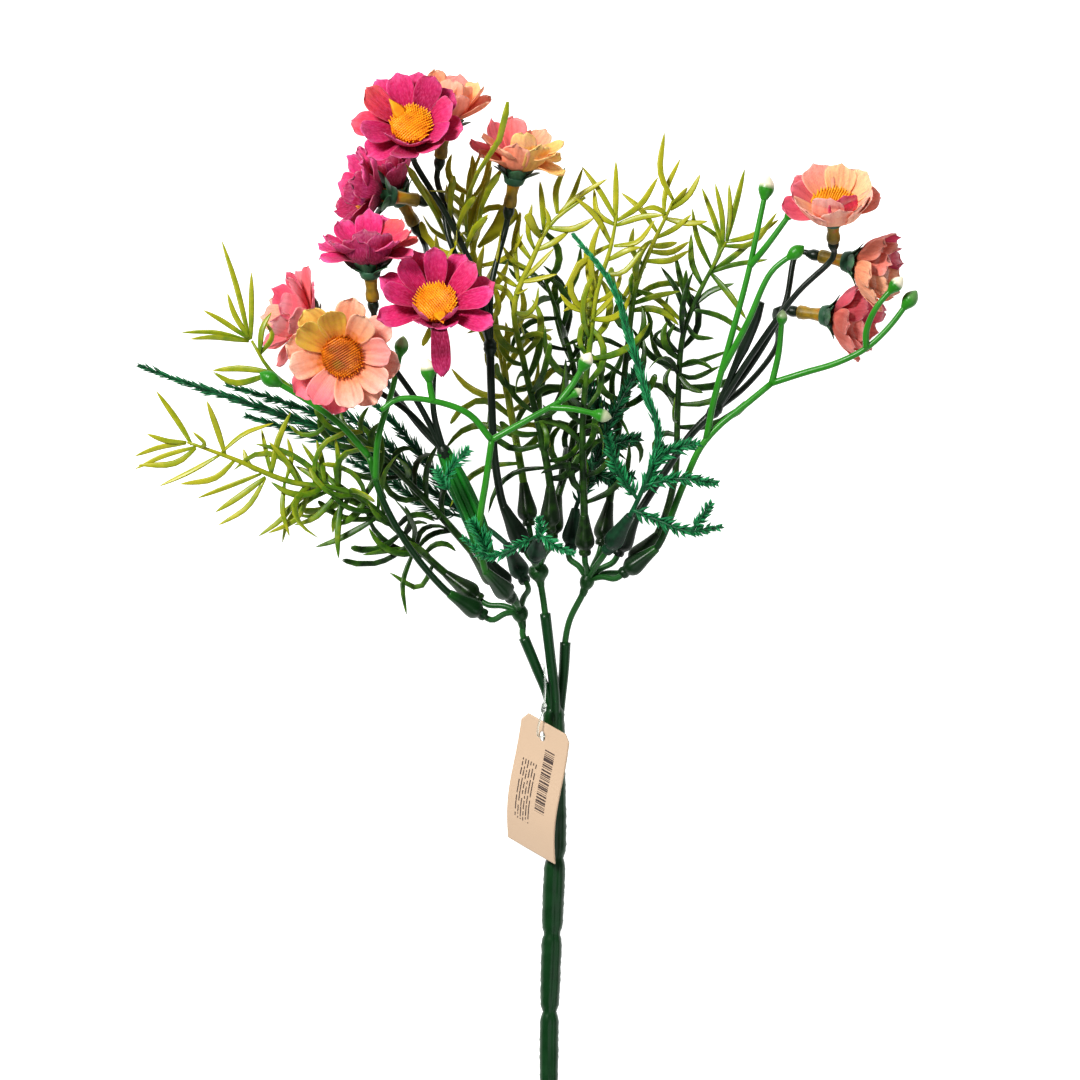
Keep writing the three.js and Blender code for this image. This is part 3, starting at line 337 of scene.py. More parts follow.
def tag_card():
    """Coated card, cut and printed one colour: smooth, warm cream, with plain dark rules and bars.

    Its UV is in millimetres from a top corner of the card: X across it and Y down it.
    """
    made, tree, surface = new_material("hang_tag_coated_card")
    flat = add_node(tree, "UVMap", uv_map="UVMap")
    # Fibres about 0.3 mm across.
    fibres = add_node(tree, "TexNoise", {"Vector": flat, "Scale": 3.0, "Detail": 5.0})
    stock = add_node(
        tree, "Mix", {"Factor": fibres, "A": linear("#B79C82"), "B": linear("#C6AE95")}, data_type="RGBA"
    )
    place = add_node(tree, "SeparateXYZ", {"Vector": flat})
    across, down = place.outputs["X"], place.outputs["Y"]
    # A block of bars, one above the other, of uneven thickness about 0.4 mm.
    uneven = add_node(tree, "TexNoise", {"W": down, "Scale": 1.9, "Detail": 0.0}, noise_dimensions="1D")
    bars = add_node(tree, "Math", {0: uneven, 1: 0.49}, operation="GREATER_THAN")
    # Columns of plain rules, broken at word lengths. The 37 takes each one to another stretch of the noise.
    row = add_node(tree, "Math", {0: across, 1: RULE_STEP}, operation="MODULO")
    rule = add_node(tree, "Math", {0: row, 1: RULE_WIDTH}, operation="LESS_THAN")
    shifted = add_node(tree, "Math", {0: across, 1: RULE_STEP}, operation="SNAP")
    run = add_node(tree, "Math", {0: shifted, 1: 37.0, 2: down}, operation="MULTIPLY_ADD")
    words = add_node(tree, "TexNoise", {"W": run, "Scale": 0.55, "Detail": 1.0}, noise_dimensions="1D")
    word = add_node(tree, "Math", {0: words, 1: 0.42}, operation="GREATER_THAN")
    rules = add_node(tree, "Math", {0: rule, 1: word}, operation="MULTIPLY")
    inks = []
    for shapes, (left, right, top, bottom) in ((bars, BARS_BLOCK), (rules, RULES_BLOCK)):
        for way, low, high in ((across, left, right), (down, top, bottom)):
            over = add_node(tree, "Math", {0: way, 1: low}, operation="GREATER_THAN")
            under = add_node(tree, "Math", {0: way, 1: high}, operation="LESS_THAN")
            for limit in (over, under):
                shapes = add_node(tree, "Math", {0: shapes, 1: limit}, operation="MULTIPLY")
        inks.append(shapes)
    ink = add_node(tree, "Math", {0: inks[0], 1: inks[1]}, operation="MAXIMUM")
    # Only the front is printed.
    front = add_node(tree, "Attribute", attribute_name="ink")
    ink = add_node(tree, "Math", {0: ink, 1: front}, operation="MULTIPLY")
    printed = add_node(tree, "Mix", {"Factor": ink, "A": stock, "B": linear("#40302A")}, data_type="RGBA")
    relief = add_node(tree, "Bump", {"Height": fibres, "Strength": 0.15, "Distance": 0.0001})
    shine = add_node(tree, "MapRange", {"Value": fibres, "To Min": 0.5, "To Max": 0.7})
    join(tree, surface, {"Base Color": printed, "Normal": relief, "Roughness": shine})
    return made


def clear_nylon():
    """Nylon, moulded as a thin loop: clear, glossy, faintly milky in clouds about 1 mm across."""
    made, tree, surface = new_material("tag_loop_clear_nylon")
    haze = add_node(tree, "TexNoise", {"Vector": add_node(tree, "TexCoord"), "Scale": 900.0})
    milk = add_node(
        tree, "Mix", {"Factor": haze, "A": linear("#DDE3DD"), "B": linear("#F4F7F2")}, data_type="RGBA"
    )
    join(tree, surface, {"Base Color": milk, "Roughness": 0.12, "IOR": 1.53, "Transmission Weight": 0.9})
    return made


STALK = moulded_green("stalk_moulded_polyethylene", "#062C10", "#10431C", 0.34)
INNER_STEM = moulded_green(
    "inner_stem_moulded_polyethylene", "#164818", "#27602A", 0.4, turns=(("tone", "#0C2A10"),)
)
SPRAY_STEM = moulded_green(
    "spray_stem_moulded_polyethylene", "#0A160B", "#152718", 0.38, turns=(("tint", "#1C7A24"),)
)
SEPAL = moulded_green("sepal_moulded_polyethylene", "#1C4030", "#2C5A40", 0.5, 0.35, (("along", "#5E8A62"),))
BUD_SPRIG = moulded_green(
    "bud_sprig_moulded_polyethylene", "#1E6C12", "#3A8E26", 0.34, 0.2,
    (("tone", "#0E2F12"), ("cream", "#F3E9D2")),
)
NEEDLE = dyed_foliage(
    "needle_leaf_dip_dyed_polyethylene",
    ((0.0, "#0E2409"), (0.2, "#264A10"), (0.45, "#4E7314"), (0.72, "#86911A"), (1.0, "#A5A224")),
    0.36,
)
FERN = dyed_foliage(
    "fern_moulded_polyethylene",
    ((0.0, "#062415"), (0.45, "#0C5230"), (0.75, "#187846"), (1.0, "#389E66")),
    0.48,
)
STAMEN = stamen_plastic()
CARD = tag_card()
NYLON = clear_nylon()
ORANGE_TIP = ((0.0, "#D0601C"), (0.35, "#A81C44"), (0.7, "#D44A4A"), (1.0, "#E27646"))
PETAL_CLOTH = {
    "magenta": petal_cloth(
        "petal_magenta_pressed_taffeta",
        ((0.0, "#D9541C"), (0.26, "#920A3A"), (0.5, "#B41454"), (0.8, "#CC2E74"), (1.0, "#E0609C")),
        ORANGE_TIP,
        # Its third dye, a darker magenta, is painted shade for petals that lie in shade.
        ((0.0, "#B84A1C"), (0.3, "#68062A"), (0.7, "#86103E"), (1.0, "#A02658")),
        # Its lighter pink streaks are painted highlight along the ribs of the velvet.
        "#E6669A", 0.34,
    ),
    "coral": petal_cloth(
        "petal_coral_pressed_taffeta",
        ((0.0, "#DE7434"), (0.35, "#EC8260"), (0.75, "#F2997C"), (1.0, "#F6B098")),
        ((0.0, "#E07A50"), (0.4, "#EA6674"), (1.0, "#F08494")),
        ((0.0, "#E08A38"), (0.4, "#EBAA45"), (1.0, "#F3D878")),
        "#E07468", 0.3,
    ),
    "peach": petal_cloth(
        "petal_peach_pressed_taffeta",
        ((0.0, "#C0661E"), (0.36, "#DC7E38"), (0.56, "#F2A484"), (0.8, "#F5B7A0"), (1.0, "#F8CEBC")),
        ((0.0, "#D8743A"), (0.4, "#F0A090"), (0.75, "#EF8892"), (1.0, "#E06C84")),
        ((0.0, "#C47220"), (0.36, "#D48C34"), (0.7, "#DCB84A"), (1.0, "#E2CC66")),
        "#E0806A", 0.3,
    ),
    "pink": petal_cloth(
        "petal_pink_pressed_taffeta",
        ((0.0, "#EFA23E"), (0.3, "#F5A874"), (0.65, "#F6AE92"), (1.0, "#F8BAAC")),
        ((0.0, "#E8805A"), (0.35, "#E0607A"), (0.8, "#CC3C68"), (1.0, "#D6527C")),
        ((0.0, "#EBA23C"), (0.4, "#F3BC74"), (1.0, "#F5D694")),
        "#DE6C74", 0.45,
    ),
    "salmon": petal_cloth(
        "petal_salmon_pressed_taffeta",
        ((0.0, "#C2622C"), (0.35, "#CE6248"), (0.75, "#DC7C68"), (1.0, "#E8978A")),
        ((0.0, "#B84430"), (0.4, "#B83254"), (1.0, "#CC4A72")),
        ((0.0, "#D98038"), (0.4, "#EE9E70"), (1.0, "#F6BC92")),
        "#B84A48", 0.35,
    ),
}


# ---- numbers and paths ---------------------------------------------------------------------------

WORD = 0xFFFFFFFF
FULL_TURN = 6.28  # in radians, for a draw of any direction
ALONG_HINT = 0.05  # under this a path starts along its hint, and another hint takes over


class Draws:
    """A repeatable run of numbers from 0 to 1, the same as the solids were drawn with."""

    def __init__(self, seed):
        self.state = seed & WORD

    def __call__(self):
        self.state = (self.state + 0x6D2B79F5) & WORD
        t = ((self.state ^ (self.state >> 15)) * (self.state | 1)) & WORD
        t ^= (t + (((t ^ (t >> 7)) * (t | 61)) & WORD)) & WORD
        return ((t ^ (t >> 14)) & WORD) / (WORD + 1)

    def between(self, low, high):
        return low + (high - low) * self()


def smooth_line(points, per_stretch=12):
    """Points on a smooth line through the given ones: a centripetal Catmull-Rom curve."""
    given = [Vector(p) for p in points]
    if len(given) == 2:
        return [given[0].lerp(given[1], i / per_stretch) for i in range(per_stretch + 1)]
    ends = [2 * given[0] - given[1], *given, 2 * given[-1] - given[-2]]
    line = []
    for i in range(len(given) - 1):
        a, b, c, d = ends[i : i + 4]
        before = max((b - a).length, 1e-4) ** 0.5
        here = max((c - b).length, 1e-4) ** 0.5
        after = max((d - c).length, 1e-4) ** 0.5
        leave = ((b - a) / before - (c - a) / (before + here) + (c - b) / here) * here
        reach = ((c - b) / here - (d - b) / (here + after) + (d - c) / after) * here
        for step in range(per_stretch):
            t = step / per_stretch
            line.append(
                b
                + leave * t
                + (-3 * b + 3 * c - 2 * leave - reach) * t**2
                + (2 * b - 2 * c + leave + reach) * t**3
            )
    line.append(given[-1])
    return line


class Path:
    """A smooth line with its side and top directions, evenly spaced from 0 at its start to 1."""

    def __init__(self, points, hint=UP, samples=24, per_stretch=10):
        line = smooth_line(points, per_stretch)
        lengths = [0.0]
        for a, b in zip(line, line[1:]):
            lengths.append(lengths[-1] + (b - a).length)
        self.length = lengths[-1]
        self.shares = np.linspace(0, 1, samples)
        raw = np.array(line)
        self.places = np.stack(
            [np.interp(self.shares * self.length, lengths, raw[:, k]) for k in range(3)], axis=1
        )
        ways = np.gradient(self.places, axis=0)
        ways /= np.linalg.norm(ways, axis=1)[:, None]
        side = Vector(hint).cross(Vector(ways[0]))
        if side.length < ALONG_HINT:
            side = Vector((1, 0, 0)).cross(Vector(ways[0]))
        sides = []
        for way in ways:
            way = Vector(way)
            side = (side - way * side.dot(way)).normalized()
            sides.append(side.copy())
        self.ways = ways
        self.sides = np.array(sides)

    def at(self, shares):
        """Places, side directions and forward directions at the given shares of the length."""
        found = []
        for table in (self.places, self.sides, self.ways):
            found.append(np.stack([np.interp(shares, self.shares, table[:, k]) for k in range(3)], axis=1))
        return found

    def point(self, share):
        return Vector(self.at(np.array([share]))[0][0])

    def way(self, share):
        return Vector(self.at(np.array([share]))[2][0]).normalized()

    def square_at(self, share):
        """A place on the path, its forward way, and the level and the upper way square to that."""
        ahead = self.way(share)
        side = ahead.cross(UP).normalized()
        return self.point(share), ahead, side, side.cross(ahead).normalized()


def mixed(values, shares):
    """Reads a list of values, spread evenly from 0 to 1, at the given shares."""
    return np.interp(shares, np.linspace(0, 1, len(values)), values)


# ---- models and heaps ----------------------------------------------------------------------------

Model = namedtuple("Model", "points corners counts")
MARKS = ("along", "across", "tone", "tint", "cream", "crease", "ink")  # what the materials read


def take_model(scene_object):
    """Keeps a modelled shape as plain points and faces, and clears it from the scene."""
    mesh = scene_object.data
    points = np.empty(len(mesh.vertices) * 3)
    mesh.vertices.foreach_get("co", points)
    corners = np.empty(len(mesh.loops), dtype=np.int64)
    mesh.loops.foreach_get("vertex_index", corners)
    counts = np.array([len(face.vertices) for face in mesh.polygons])
    bpy.data.objects.remove(scene_object)
    return Model(points.reshape(-1, 3), corners, counts)


class Heap:
    """Copies of models, laid in their places and gathered into one mesh."""

    def __init__(self):
        self.points = []
        self.corners = []
        self.counts = []
        self.flat = []
        self.marks = {mark: [] for mark in MARKS}
        self.size = 0

    def put(self, model, points, flat=None, **marks):
        """Adds a copy of the model with these points, its UV and its marks."""
        count = len(points)
        self.points.append(points)
        self.corners.append(model.corners + self.size)
        self.counts.append(model.counts)
        self.flat.append(np.zeros((count, 2)) if flat is None else flat)
        for mark, lists in self.marks.items():
            lists.append(np.broadcast_to(np.asarray(marks.get(mark, 0.0), dtype=float), (count,)))
        self.size += count

    def lay(self, model, path, breadth, depth, bloom=None, **marks):
        """Adds a copy of the model bent along a path, on a blossom's own axes where one is given."""
        points = laid_along(model, path, breadth, depth)
        self.put(model, on_bloom(bloom, points) if bloom else points, **marks)

    def piece(self, name, material, slot, *nodes, lowest=0.0):
        """Makes the heap one object that stands for the frame's nodes, with nothing under its lowest."""
        places = (np.concatenate(self.points) + LAID) * MM
        places[:, 2] = np.maximum(places[:, 2], lowest * MM)
        corners = np.concatenate(self.corners).astype(np.int32)
        counts = np.concatenate(self.counts)
        mesh = bpy.data.meshes.new(name)
        mesh.vertices.add(len(places))
        mesh.vertices.foreach_set("co", places.ravel())
        mesh.loops.add(len(corners))
        mesh.loops.foreach_set("vertex_index", corners)
        mesh.polygons.add(len(counts))
        starts = np.concatenate([[0], np.cumsum(counts)[:-1]]).astype(np.int32)
        mesh.polygons.foreach_set("loop_start", starts)
        mesh.polygons.foreach_set("use_smooth", np.ones(len(counts), dtype=bool))
        mesh.update(calc_edges=True)
        layer = mesh.uv_layers.new(name="UVMap")
        layer.data.foreach_set("uv", np.concatenate(self.flat)[corners].ravel())
        for mark, lists in self.marks.items():
            values = np.concatenate(lists)
            if values.any():
                mesh.attributes.new(mark, "FLOAT", "POINT").data.foreach_set("value", values)
        mesh.validate()
        mesh.materials.append(material)
        made = bpy.data.objects.new(name, mesh)
        bpy.context.collection.objects.link(made)
        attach(made, "root")
        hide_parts(*nodes)


def laid_along(model, path, breadth, depth):
    """The model's points bent along a path. Its X and Y are shares of breadth and depth, Z of length."""
    share = np.clip(model.points[:, 2], 0, 1)
    places, sides, ways = path.at(share)
    tops = np.cross(ways, sides)
    tops /= np.maximum(np.linalg.norm(tops, axis=1), 1e-9)[:, None]
    x = model.points[:, 0] * mixed(breadth, share)
    y = model.points[:, 1] * mixed(depth, share)
    return places + sides * x[:, None] + tops * y[:, None]


def extruded(section, levels):
    """A closed section drawn up by extruding it through levels of (height, size across, size deep)."""
    bpy.ops.mesh.primitive_circle_add(vertices=len(section), radius=1, fill_type="NGON")
    made = bpy.context.object
    height, wide, deep = levels[0]
    for vertex, (x, y) in zip(made.data.vertices, section):
        vertex.co = (x * wide, y * deep, height)
    bpy.ops.object.mode_set(mode="EDIT")
    bpy.ops.mesh.select_all(action="SELECT")
    bpy.ops.mesh.flip_normals()
    bpy.ops.mesh.select_mode(type="FACE")
    for (low, wide, deep), (high, next_wide, next_deep) in zip(levels, levels[1:]):
        bpy.ops.mesh.extrude_region_move(TRANSFORM_OT_translate={"value": (0, 0, high - low)})
        bpy.ops.transform.resize(
            value=(next_wide / wide, next_deep / deep, 1), center_override=(0, 0, high)
        )
    bpy.ops.mesh.select_mode(type="VERT")
    bpy.ops.mesh.select_all(action="SELECT")
    bpy.ops.mesh.normals_make_consistent(inside=False)
    bpy.ops.object.mode_set(mode="OBJECT")
    return made


def round_model(sides, levels):
    """A model turned round its Z axis: levels of (height, radius), with this many sides."""
    turns = [2 * math.pi * k / sides for k in range(sides)]
    section = [(math.cos(turn), math.sin(turn)) for turn in turns]
    return take_model(extruded(section, [(height, radius, radius) for height, radius in levels]))


def rod_model(sides, steps):
    """A straight round rod, one long and one in radius."""
    return round_model(sides, [(i / steps, 1) for i in range(steps + 1)])


THICK_ROD = rod_model(20, 40)
STEM_ROD = rod_model(12, 28)
TWIG_ROD = rod_model(8, 14)
THREAD_ROD = rod_model(6, 10)

# A slim leaf's section has a shallow groove along its top, where the light catches both of its edges.
LEAF_SECTION = [(1, 0), (0.55, 0.6), (0, 0.28), (-0.55, 0.6), (-1, 0), (0, -0.7)]
LEAF_LEVELS = [
    (0, 0.5, 0.9), (0.13, 0.75, 1), (0.28, 0.95, 1), (0.42, 1, 1), (0.56, 1, 0.95), (0.7, 0.9, 0.85),
    (0.83, 0.7, 0.7), (0.93, 0.42, 0.45),
]
SLIM_LEAF = take_model(extruded(LEAF_SECTION, [*LEAF_LEVELS, (1, 0.1, 0.12)]))
BLUNT_LEAF = take_model(
    extruded(LEAF_SECTION, [*LEAF_LEVELS[:5], (0.8, 1.1, 0.9), (0.94, 0.95, 0.7), (1, 0.4, 0.3)])
)
FRONDLET = round_model(4, [(0, 0.8), (0.45, 1), (1, 0.08)])
STAMEN_POINT = round_model(5, [(0, 1), (0.6, 0.9), (0.86, 0.62), (1, 0.15)])


def limb(heap, points, radii, rod=TWIG_ROD, hint=UP, samples=32, **marks):
    """A round limb along a smooth line through the points, with its radii spread evenly along it."""
    path = Path(points, hint, samples)
    heap.lay(rod, path, radii, radii, along=rod.points[:, 2], **marks)
    return path


# ---- blossoms ------------------------------------------------------------------------------------

PETALS = 8  # in each of the two layers
PETAL_RING = 4.2  # mm along the petals, where the neck of the disc ends
PETAL_CURL = math.radians(12)  # how much steeper than its root a petal's end is
BACK_FLATTER = math.radians(9)  # how much flatter the back layer lies
SHANK_LENGTH = 12
DISC_RADIUS = 6.2
CLOTH = 0.32  # mm, the thickness of the pressed cloth

# hub, azimuth, tilt, cup, reach and seed are those of the solids' blossoms. Stretches of the compass round
# a blossom, in degrees from the picture's right, say how its petals differ: tints, how far they are turned
# to the second dye (over 0) or the third (under 0), and bends, by how many degrees their outer part is bent
# up, and how many times longer they are. On the magenta blossoms a tint under 0 is painted shade, a darker
# magenta for petals that lie in shade. sunk: how far the disc lies deeper. broad: how many times wider the
# petals are. flake: where a scale stands at the disc's edge. cloth: another dye than the colour's own.
# comb: which way the rows of stamens run. span: how far a stamen's colour goes from that of its bed; under
# 1 the disc is held near the deep orange of its bed, as painted shade.
BLOOMS = [
    dict(color="magenta", hub=(-39.7, 297, 70), azimuth=95, tilt=28, cup=20, reach=18, seed=3, flake=130,
         comb=42, tints=[(150, 178, 0.55), (178, 360, 0.0), (20, 80, -0.6)],
         bends=[(48, 135, 0, 1.1), (135, 215, -4, 1.1), (232, 318, 24, 0.95)]),
    dict(color="coral", hub=(-29, 301, 43), azimuth=80, tilt=70, cup=38, reach=17, seed=5,
         tints=[(0, 50, -0.3), (60, 120, 0.6)], bends=[(205, 330, 26)]),
    dict(color="magenta", hub=(-44.5, 279.5, 30), azimuth=118, tilt=72, cup=46, reach=15, seed=8,
         tints=[(0, 360, -0.6)]),
    dict(color="magenta", hub=(-49, 278, 49), azimuth=172, tilt=74, cup=34, reach=17, seed=13,
         bends=[(50, 130, -12), (230, 290, -10), (290, 415, 32)],
         tints=[(200, 360, -0.9), (0, 60, -0.8)]),
    dict(color="magenta", hub=(-52.5, 256, 72), azimuth=95, tilt=68, cup=34, reach=18, seed=21,
         bends=[(140, 205, -18), (335, 400, -18), (205, 335, 30)],
         tints=[(0, 25, 0.8), (200, 340, -0.75)]),
    dict(color="magenta", hub=(-32, 242, 72), azimuth=90, tilt=26, cup=24, reach=17.5, seed=34, flake=283,
         comb=125, tints=[(252, 288, -1.0), (60, 100, -0.35)], broad=0.88,
         bends=[(35, 150, 0, 1.14), (150, 206, -10, 1.2), (206, 256, 28, 0.85), (256, 286, -74, 1.42),
                (286, 330, 28, 0.85), (330, 395, -12, 1.22)]),
    # Its disc is held near the deep orange of its bed by its span: painted shade.
    dict(color="peach", hub=(-61, 228, 64), azimuth=250, tilt=8, cup=14, reach=19, seed=55,
         comb=32, tints=[(95, 165, -0.95), (215, 262, 0.9), (350, 385, 0.7), (262, 290, 0.3)], span=0.1),
    dict(color="pink", hub=(-72, 240, 12.04), azimuth=165, tilt=68, cup=26, reach=18, seed=89,
         tints=[(0, 140, 0.8), (230, 330, 0.6)], bends=[(275, 405, 34)]),
    dict(color="coral", hub=(-7.5, 285.5, 50), azimuth=80, tilt=68, cup=34, reach=17.5, seed=144,
         bends=[(140, 205, -14), (335, 385, -22), (205, 335, 28)], sunk=1.2,
         tints=[(100, 175, 0.8), (285, 372, -0.9)]),
    dict(color="pink", hub=(90.5, 272, 60), azimuth=92, tilt=44, cup=22, reach=17, seed=233,
         comb=80, tints=[(130, 190, 0.75), (20, 110, -0.5), (285, 315, 1.0)], bends=[(205, 340, 38)],
         sunk=2.8, broad=1.28),
    dict(color="pink", hub=(98, 257, 40), azimuth=-12, tilt=74, cup=30, reach=16, seed=377, cloth="salmon",
         tints=[(20, 80, 0.9), (180, 360, -0.7)], bends=[(0, 360, 20, 1.08)]),
    dict(color="pink", hub=(92, 241, 10.9), azimuth=-8, tilt=72, cup=28, reach=16, seed=610, cloth="salmon",
         tints=[(30, 150, 0.8), (200, 340, 0.1)], bends=[(0, 360, 16, 1.08)]),
]

for number, bloom in enumerate(BLOOMS, 1):
    tilt, azimuth = math.radians(bloom["tilt"]), math.radians(bloom["azimuth"])
    bloom["name"] = f"bloom_{number}"
    bloom.setdefault("comb", 40 * number)  # a guess, where the photograph doesn't show the rows
    bloom["hub"] = Vector(bloom["hub"])
    bloom["facing"] = Vector(
        (math.sin(tilt) * math.cos(azimuth), math.sin(tilt) * math.sin(azimuth), math.cos(tilt))
    )
    side = Vector((0, 1, 0)).cross(bloom["facing"]).normalized()
    bloom["basis"] = np.array([side, bloom["facing"].cross(side), bloom["facing"]])
    bloom["socket"] = bloom["hub"] - bloom["facing"] * SHANK_LENGTH


def on_bloom(bloom, points):
    """Moves points made round the Z axis to their place on a blossom."""
    return points @ bloom["basis"] + np.array(bloom["hub"])


ROOM_ROUND, ROOM_FRONT, ROOM_BEHIND = 1, 3, 4  # mm kept clear past the petals' ends, over and under them
SEPALS_BEHIND = 7  # mm, and behind that the room ends


def inside_head(place, margin):
    """True in the room that a blossom takes, where no leaf may go."""
    for bloom in BLOOMS:
        to = place - bloom["hub"]
        height = to.dot(bloom["facing"])
        out = math.sqrt(max(to.length_squared - height**2, 0))
        if out > bloom["reach"] + ROOM_ROUND + margin or height < -SEPALS_BEHIND:
            continue
        cup = math.radians(bloom["cup"])
        front = out * math.tan(cup * 1.2) + ROOM_FRONT
        behind = out * math.tan((cup - BACK_FLATTER) * 0.5) - ROOM_BEHIND
        if behind - margin < height < front + margin:
            return True
    return False


def petal_model():
    """One petal's cloth as a flat sheet: X across from -1 to 1, Z along from 0 to 1, Y its two faces."""
    bpy.ops.mesh.primitive_grid_add(x_subdivisions=14, y_subdivisions=22, size=2)
    made = bpy.context.object
    for vertex in made.data.vertices:
        x, y = vertex.co.x, vertex.co.y
        vertex.co = (x, 0, (y + 1) / 2)
    bpy.ops.object.mode_set(mode="EDIT")
    bpy.ops.mesh.select_all(action="SELECT")
    bpy.ops.mesh.flip_normals()
    bpy.ops.object.mode_set(mode="OBJECT")
    wall = made.modifiers.new("cloth", "SOLIDIFY")
    wall.thickness = 1
    wall.offset = 0
    bpy.ops.object.modifier_apply(modifier=wall.name)
    return take_model(made)


PETAL = petal_model()
# Half widths of a petal from the middle of the blossom to its shoulder, as shares of the widest.
PETAL_SIDE = [0.3, 0.34, 0.4, 0.5, 0.63, 0.78, 0.9, 0.975, 1.0]
SHOULDER = 0.74  # where the petal is widest; its end is rounded from here
ROUND_END = 0.262
ROUNDNESS = 2.8  # of its end: 2 is an ellipse, and more is squarer
PETAL_HALVES = (4.3, 4.5)  # mm, half the width of a front and of a back petal that reaches 18 mm
PETAL_ROOT = 1.8  # mm from the middle, where a petal starts under the disc
KNEE = 0.4  # where a bent petal starts to bend, as a share of its length
CREASES = (-0.6, -0.2, 0.2, 0.6)  # where the heated press folded the cloth


def said_of(bloom, kind, around):
    """What the stretches of one kind say of a petal that points this way round its blossom."""
    way = np.array([math.cos(around), math.sin(around), 0]) @ bloom["basis"]
    compass = math.degrees(math.atan2(way[1], way[0])) % 360
    return [
        said for start, end, *said in bloom.get(kind, [])
        if start <= compass < end or start <= compass + 360 < end
    ]


def bend_of(bloom, around):
    """How far the petals that point this way are bent, in radians, and how much longer they are."""
    angle, *longer = [[0.0], *said_of(bloom, "bends", around)][-1]
    return math.radians(angle), longer[0] if longer else 1.0


def tint_of(bloom, around):
    """How a petal is dyed, from the way that it points in the picture; a magenta petal's tint under 0 is
    painted shade.
    """
    return [*said_of(bloom, "tints", around), [0.0]][0][0]


def petal_points(bloom, layer, around, raised, longer, draw, bent, slim):
    """The petal model laid out on its blossom, cupped, creased and a little ruffled.

    bent is how far, in radians, the outer half of a petal is bent up or, below 0, down.
    """
    across, face, along = PETAL.points[:, 0], PETAL.points[:, 1], PETAL.points[:, 2]
    wide = PETAL_HALVES[layer] * bloom["reach"] / 18 * slim * bloom.get("broad", 1.0)
    start = PETAL_ROOT / longer
    share = start + (1 - start) * along
    side = np.interp(share, np.linspace(0, SHOULDER, len(PETAL_SIDE)), PETAL_SIDE)
    past = np.clip((share - SHOULDER) / ROUND_END, 0, 1)
    half = wide * side * (1 - past**ROUNDNESS) ** (1 / ROUNDNESS)
    # Its end is rounded, with a shallow notch in the middle, and leans a little to one side.
    notch = draw.between(0.0, 0.035)
    end = share**8
    s = (share - 0.05 * across**2 * share**4 - notch * np.exp(-((across / 0.22) ** 2)) * end) * longer
    slope = math.radians(bloom["cup"]) - (BACK_FLATTER if layer else 0) + raised * share
    angle = slope + PETAL_CURL * share
    lean = draw.between(-0.5, 0.5)
    sideways = across * half + lean * 1.6 * share**2
    # What is beyond the knee swings up or down round it.
    knee = KNEE * longer
    knee_angle = math.radians(bloom["cup"]) + PETAL_CURL * KNEE
    knee_out, knee_height = knee * math.cos(knee_angle), knee * math.sin(knee_angle)
    swing = bent * np.clip((share - KNEE) / 0.35, 0, 1)
    beyond_out = s * np.cos(angle) - knee_out
    beyond_height = s * np.sin(angle) - knee_height
    out = knee_out + beyond_out * np.cos(swing) - beyond_height * np.sin(swing)
    height = knee_height + beyond_out * np.sin(swing) + beyond_height * np.cos(swing)
    out = out - 0.05 * np.abs(across) * half
    # The back layer lies half a millimetre lower. Each petal is hollow along its middle.
    height = height - (0.5 if layer else 0.0)
    hollow = draw.between(0.7, 1.7)
    middle = np.sin(math.pi * np.clip(share, 0, 1)) ** 0.7
    height += hollow * across**2 * middle - 0.35
    crease = np.zeros_like(across)
    for place in CREASES:
        wander = place + 0.07 * np.sin(share * 6 + draw.between(0, FULL_TURN)) + draw.between(-0.1, 0.1)
        pressed = draw.between(0.15, 1.0) * np.exp(-(((across - wander) / draw.between(0.08, 0.16)) ** 2))
        crease = np.maximum(crease, pressed)
    height -= 0.26 * crease * middle
    ruffle = draw.between(0.2, 0.7)
    phase = draw.between(0, FULL_TURN)
    height += ruffle * share**3 * np.sin(across * 3.6 + phase)
    # Its end curls up or down by up to about a millimetre.
    tip = draw.between(-0.9, 1.3)
    height += tip * np.maximum(share - 0.7, 0) ** 2 * 9
    height += face * CLOTH
    east, north = math.cos(around), math.sin(around)
    local = np.stack([out * east - sideways * north, out * north + sideways * east, height], axis=1)
    edge = np.maximum(np.abs(across), np.clip((along - 0.9) / 0.1, 0, 1) * 0.98)
    flat = np.stack([across * half + 40 * draw(), share * longer + 40 * draw()], axis=1)
    return local, share, edge, crease, flat


DROOPING = math.radians(-50)  # a petal bent down further than this has come loose and hangs
LOOSE_SLIM = 0.84  # it is folded a little narrower
LOOSE_TURN = 0.12  # and swung round by this, in radians
LOWEST = 0.1  # mm over the table, where cloth and sepals that would pass through it lie flat


def petals(bloom):
    """Two pressed layers of eight petals, the second between the first, as one piece."""
    draw = Draws(bloom["seed"])
    extra = Draws(bloom["seed"] + 5000)
    heap = Heap()
    turn = draw() * math.pi
    half = math.pi / PETALS
    for layer in (0, 1):
        for k in range(PETALS):
            middle = turn + (2 * k + layer + 1) * half + (draw() - 0.5) * 0.1
            raised = draw() * math.radians(8 if layer == 0 else -8)
            longer = bloom["reach"] * (1.02 if layer else 1) * (1 - draw() * 0.06)
            bent, stretch = bend_of(bloom, middle)
            longer *= stretch
            slim = 1.0
            if bent < DROOPING:
                slim = LOOSE_SLIM
                middle += LOOSE_TURN
            local, share, edge, crease, flat = petal_points(
                bloom, layer, middle, raised, longer, extra, bent, slim
            )
            tint = tint_of(bloom, middle) + extra.between(-0.18, 0.18)
            heap.put(
                PETAL, on_bloom(bloom, local), flat, along=share, across=edge, crease=crease, tint=tint
            )
    name, cloth = bloom["name"], PETAL_CLOTH[bloom.get("cloth", bloom["color"])]
    heap.piece(f"{name}_cloth_petals", cloth, f"petal_{bloom['color']}", f"{name}_petals", lowest=LOWEST)


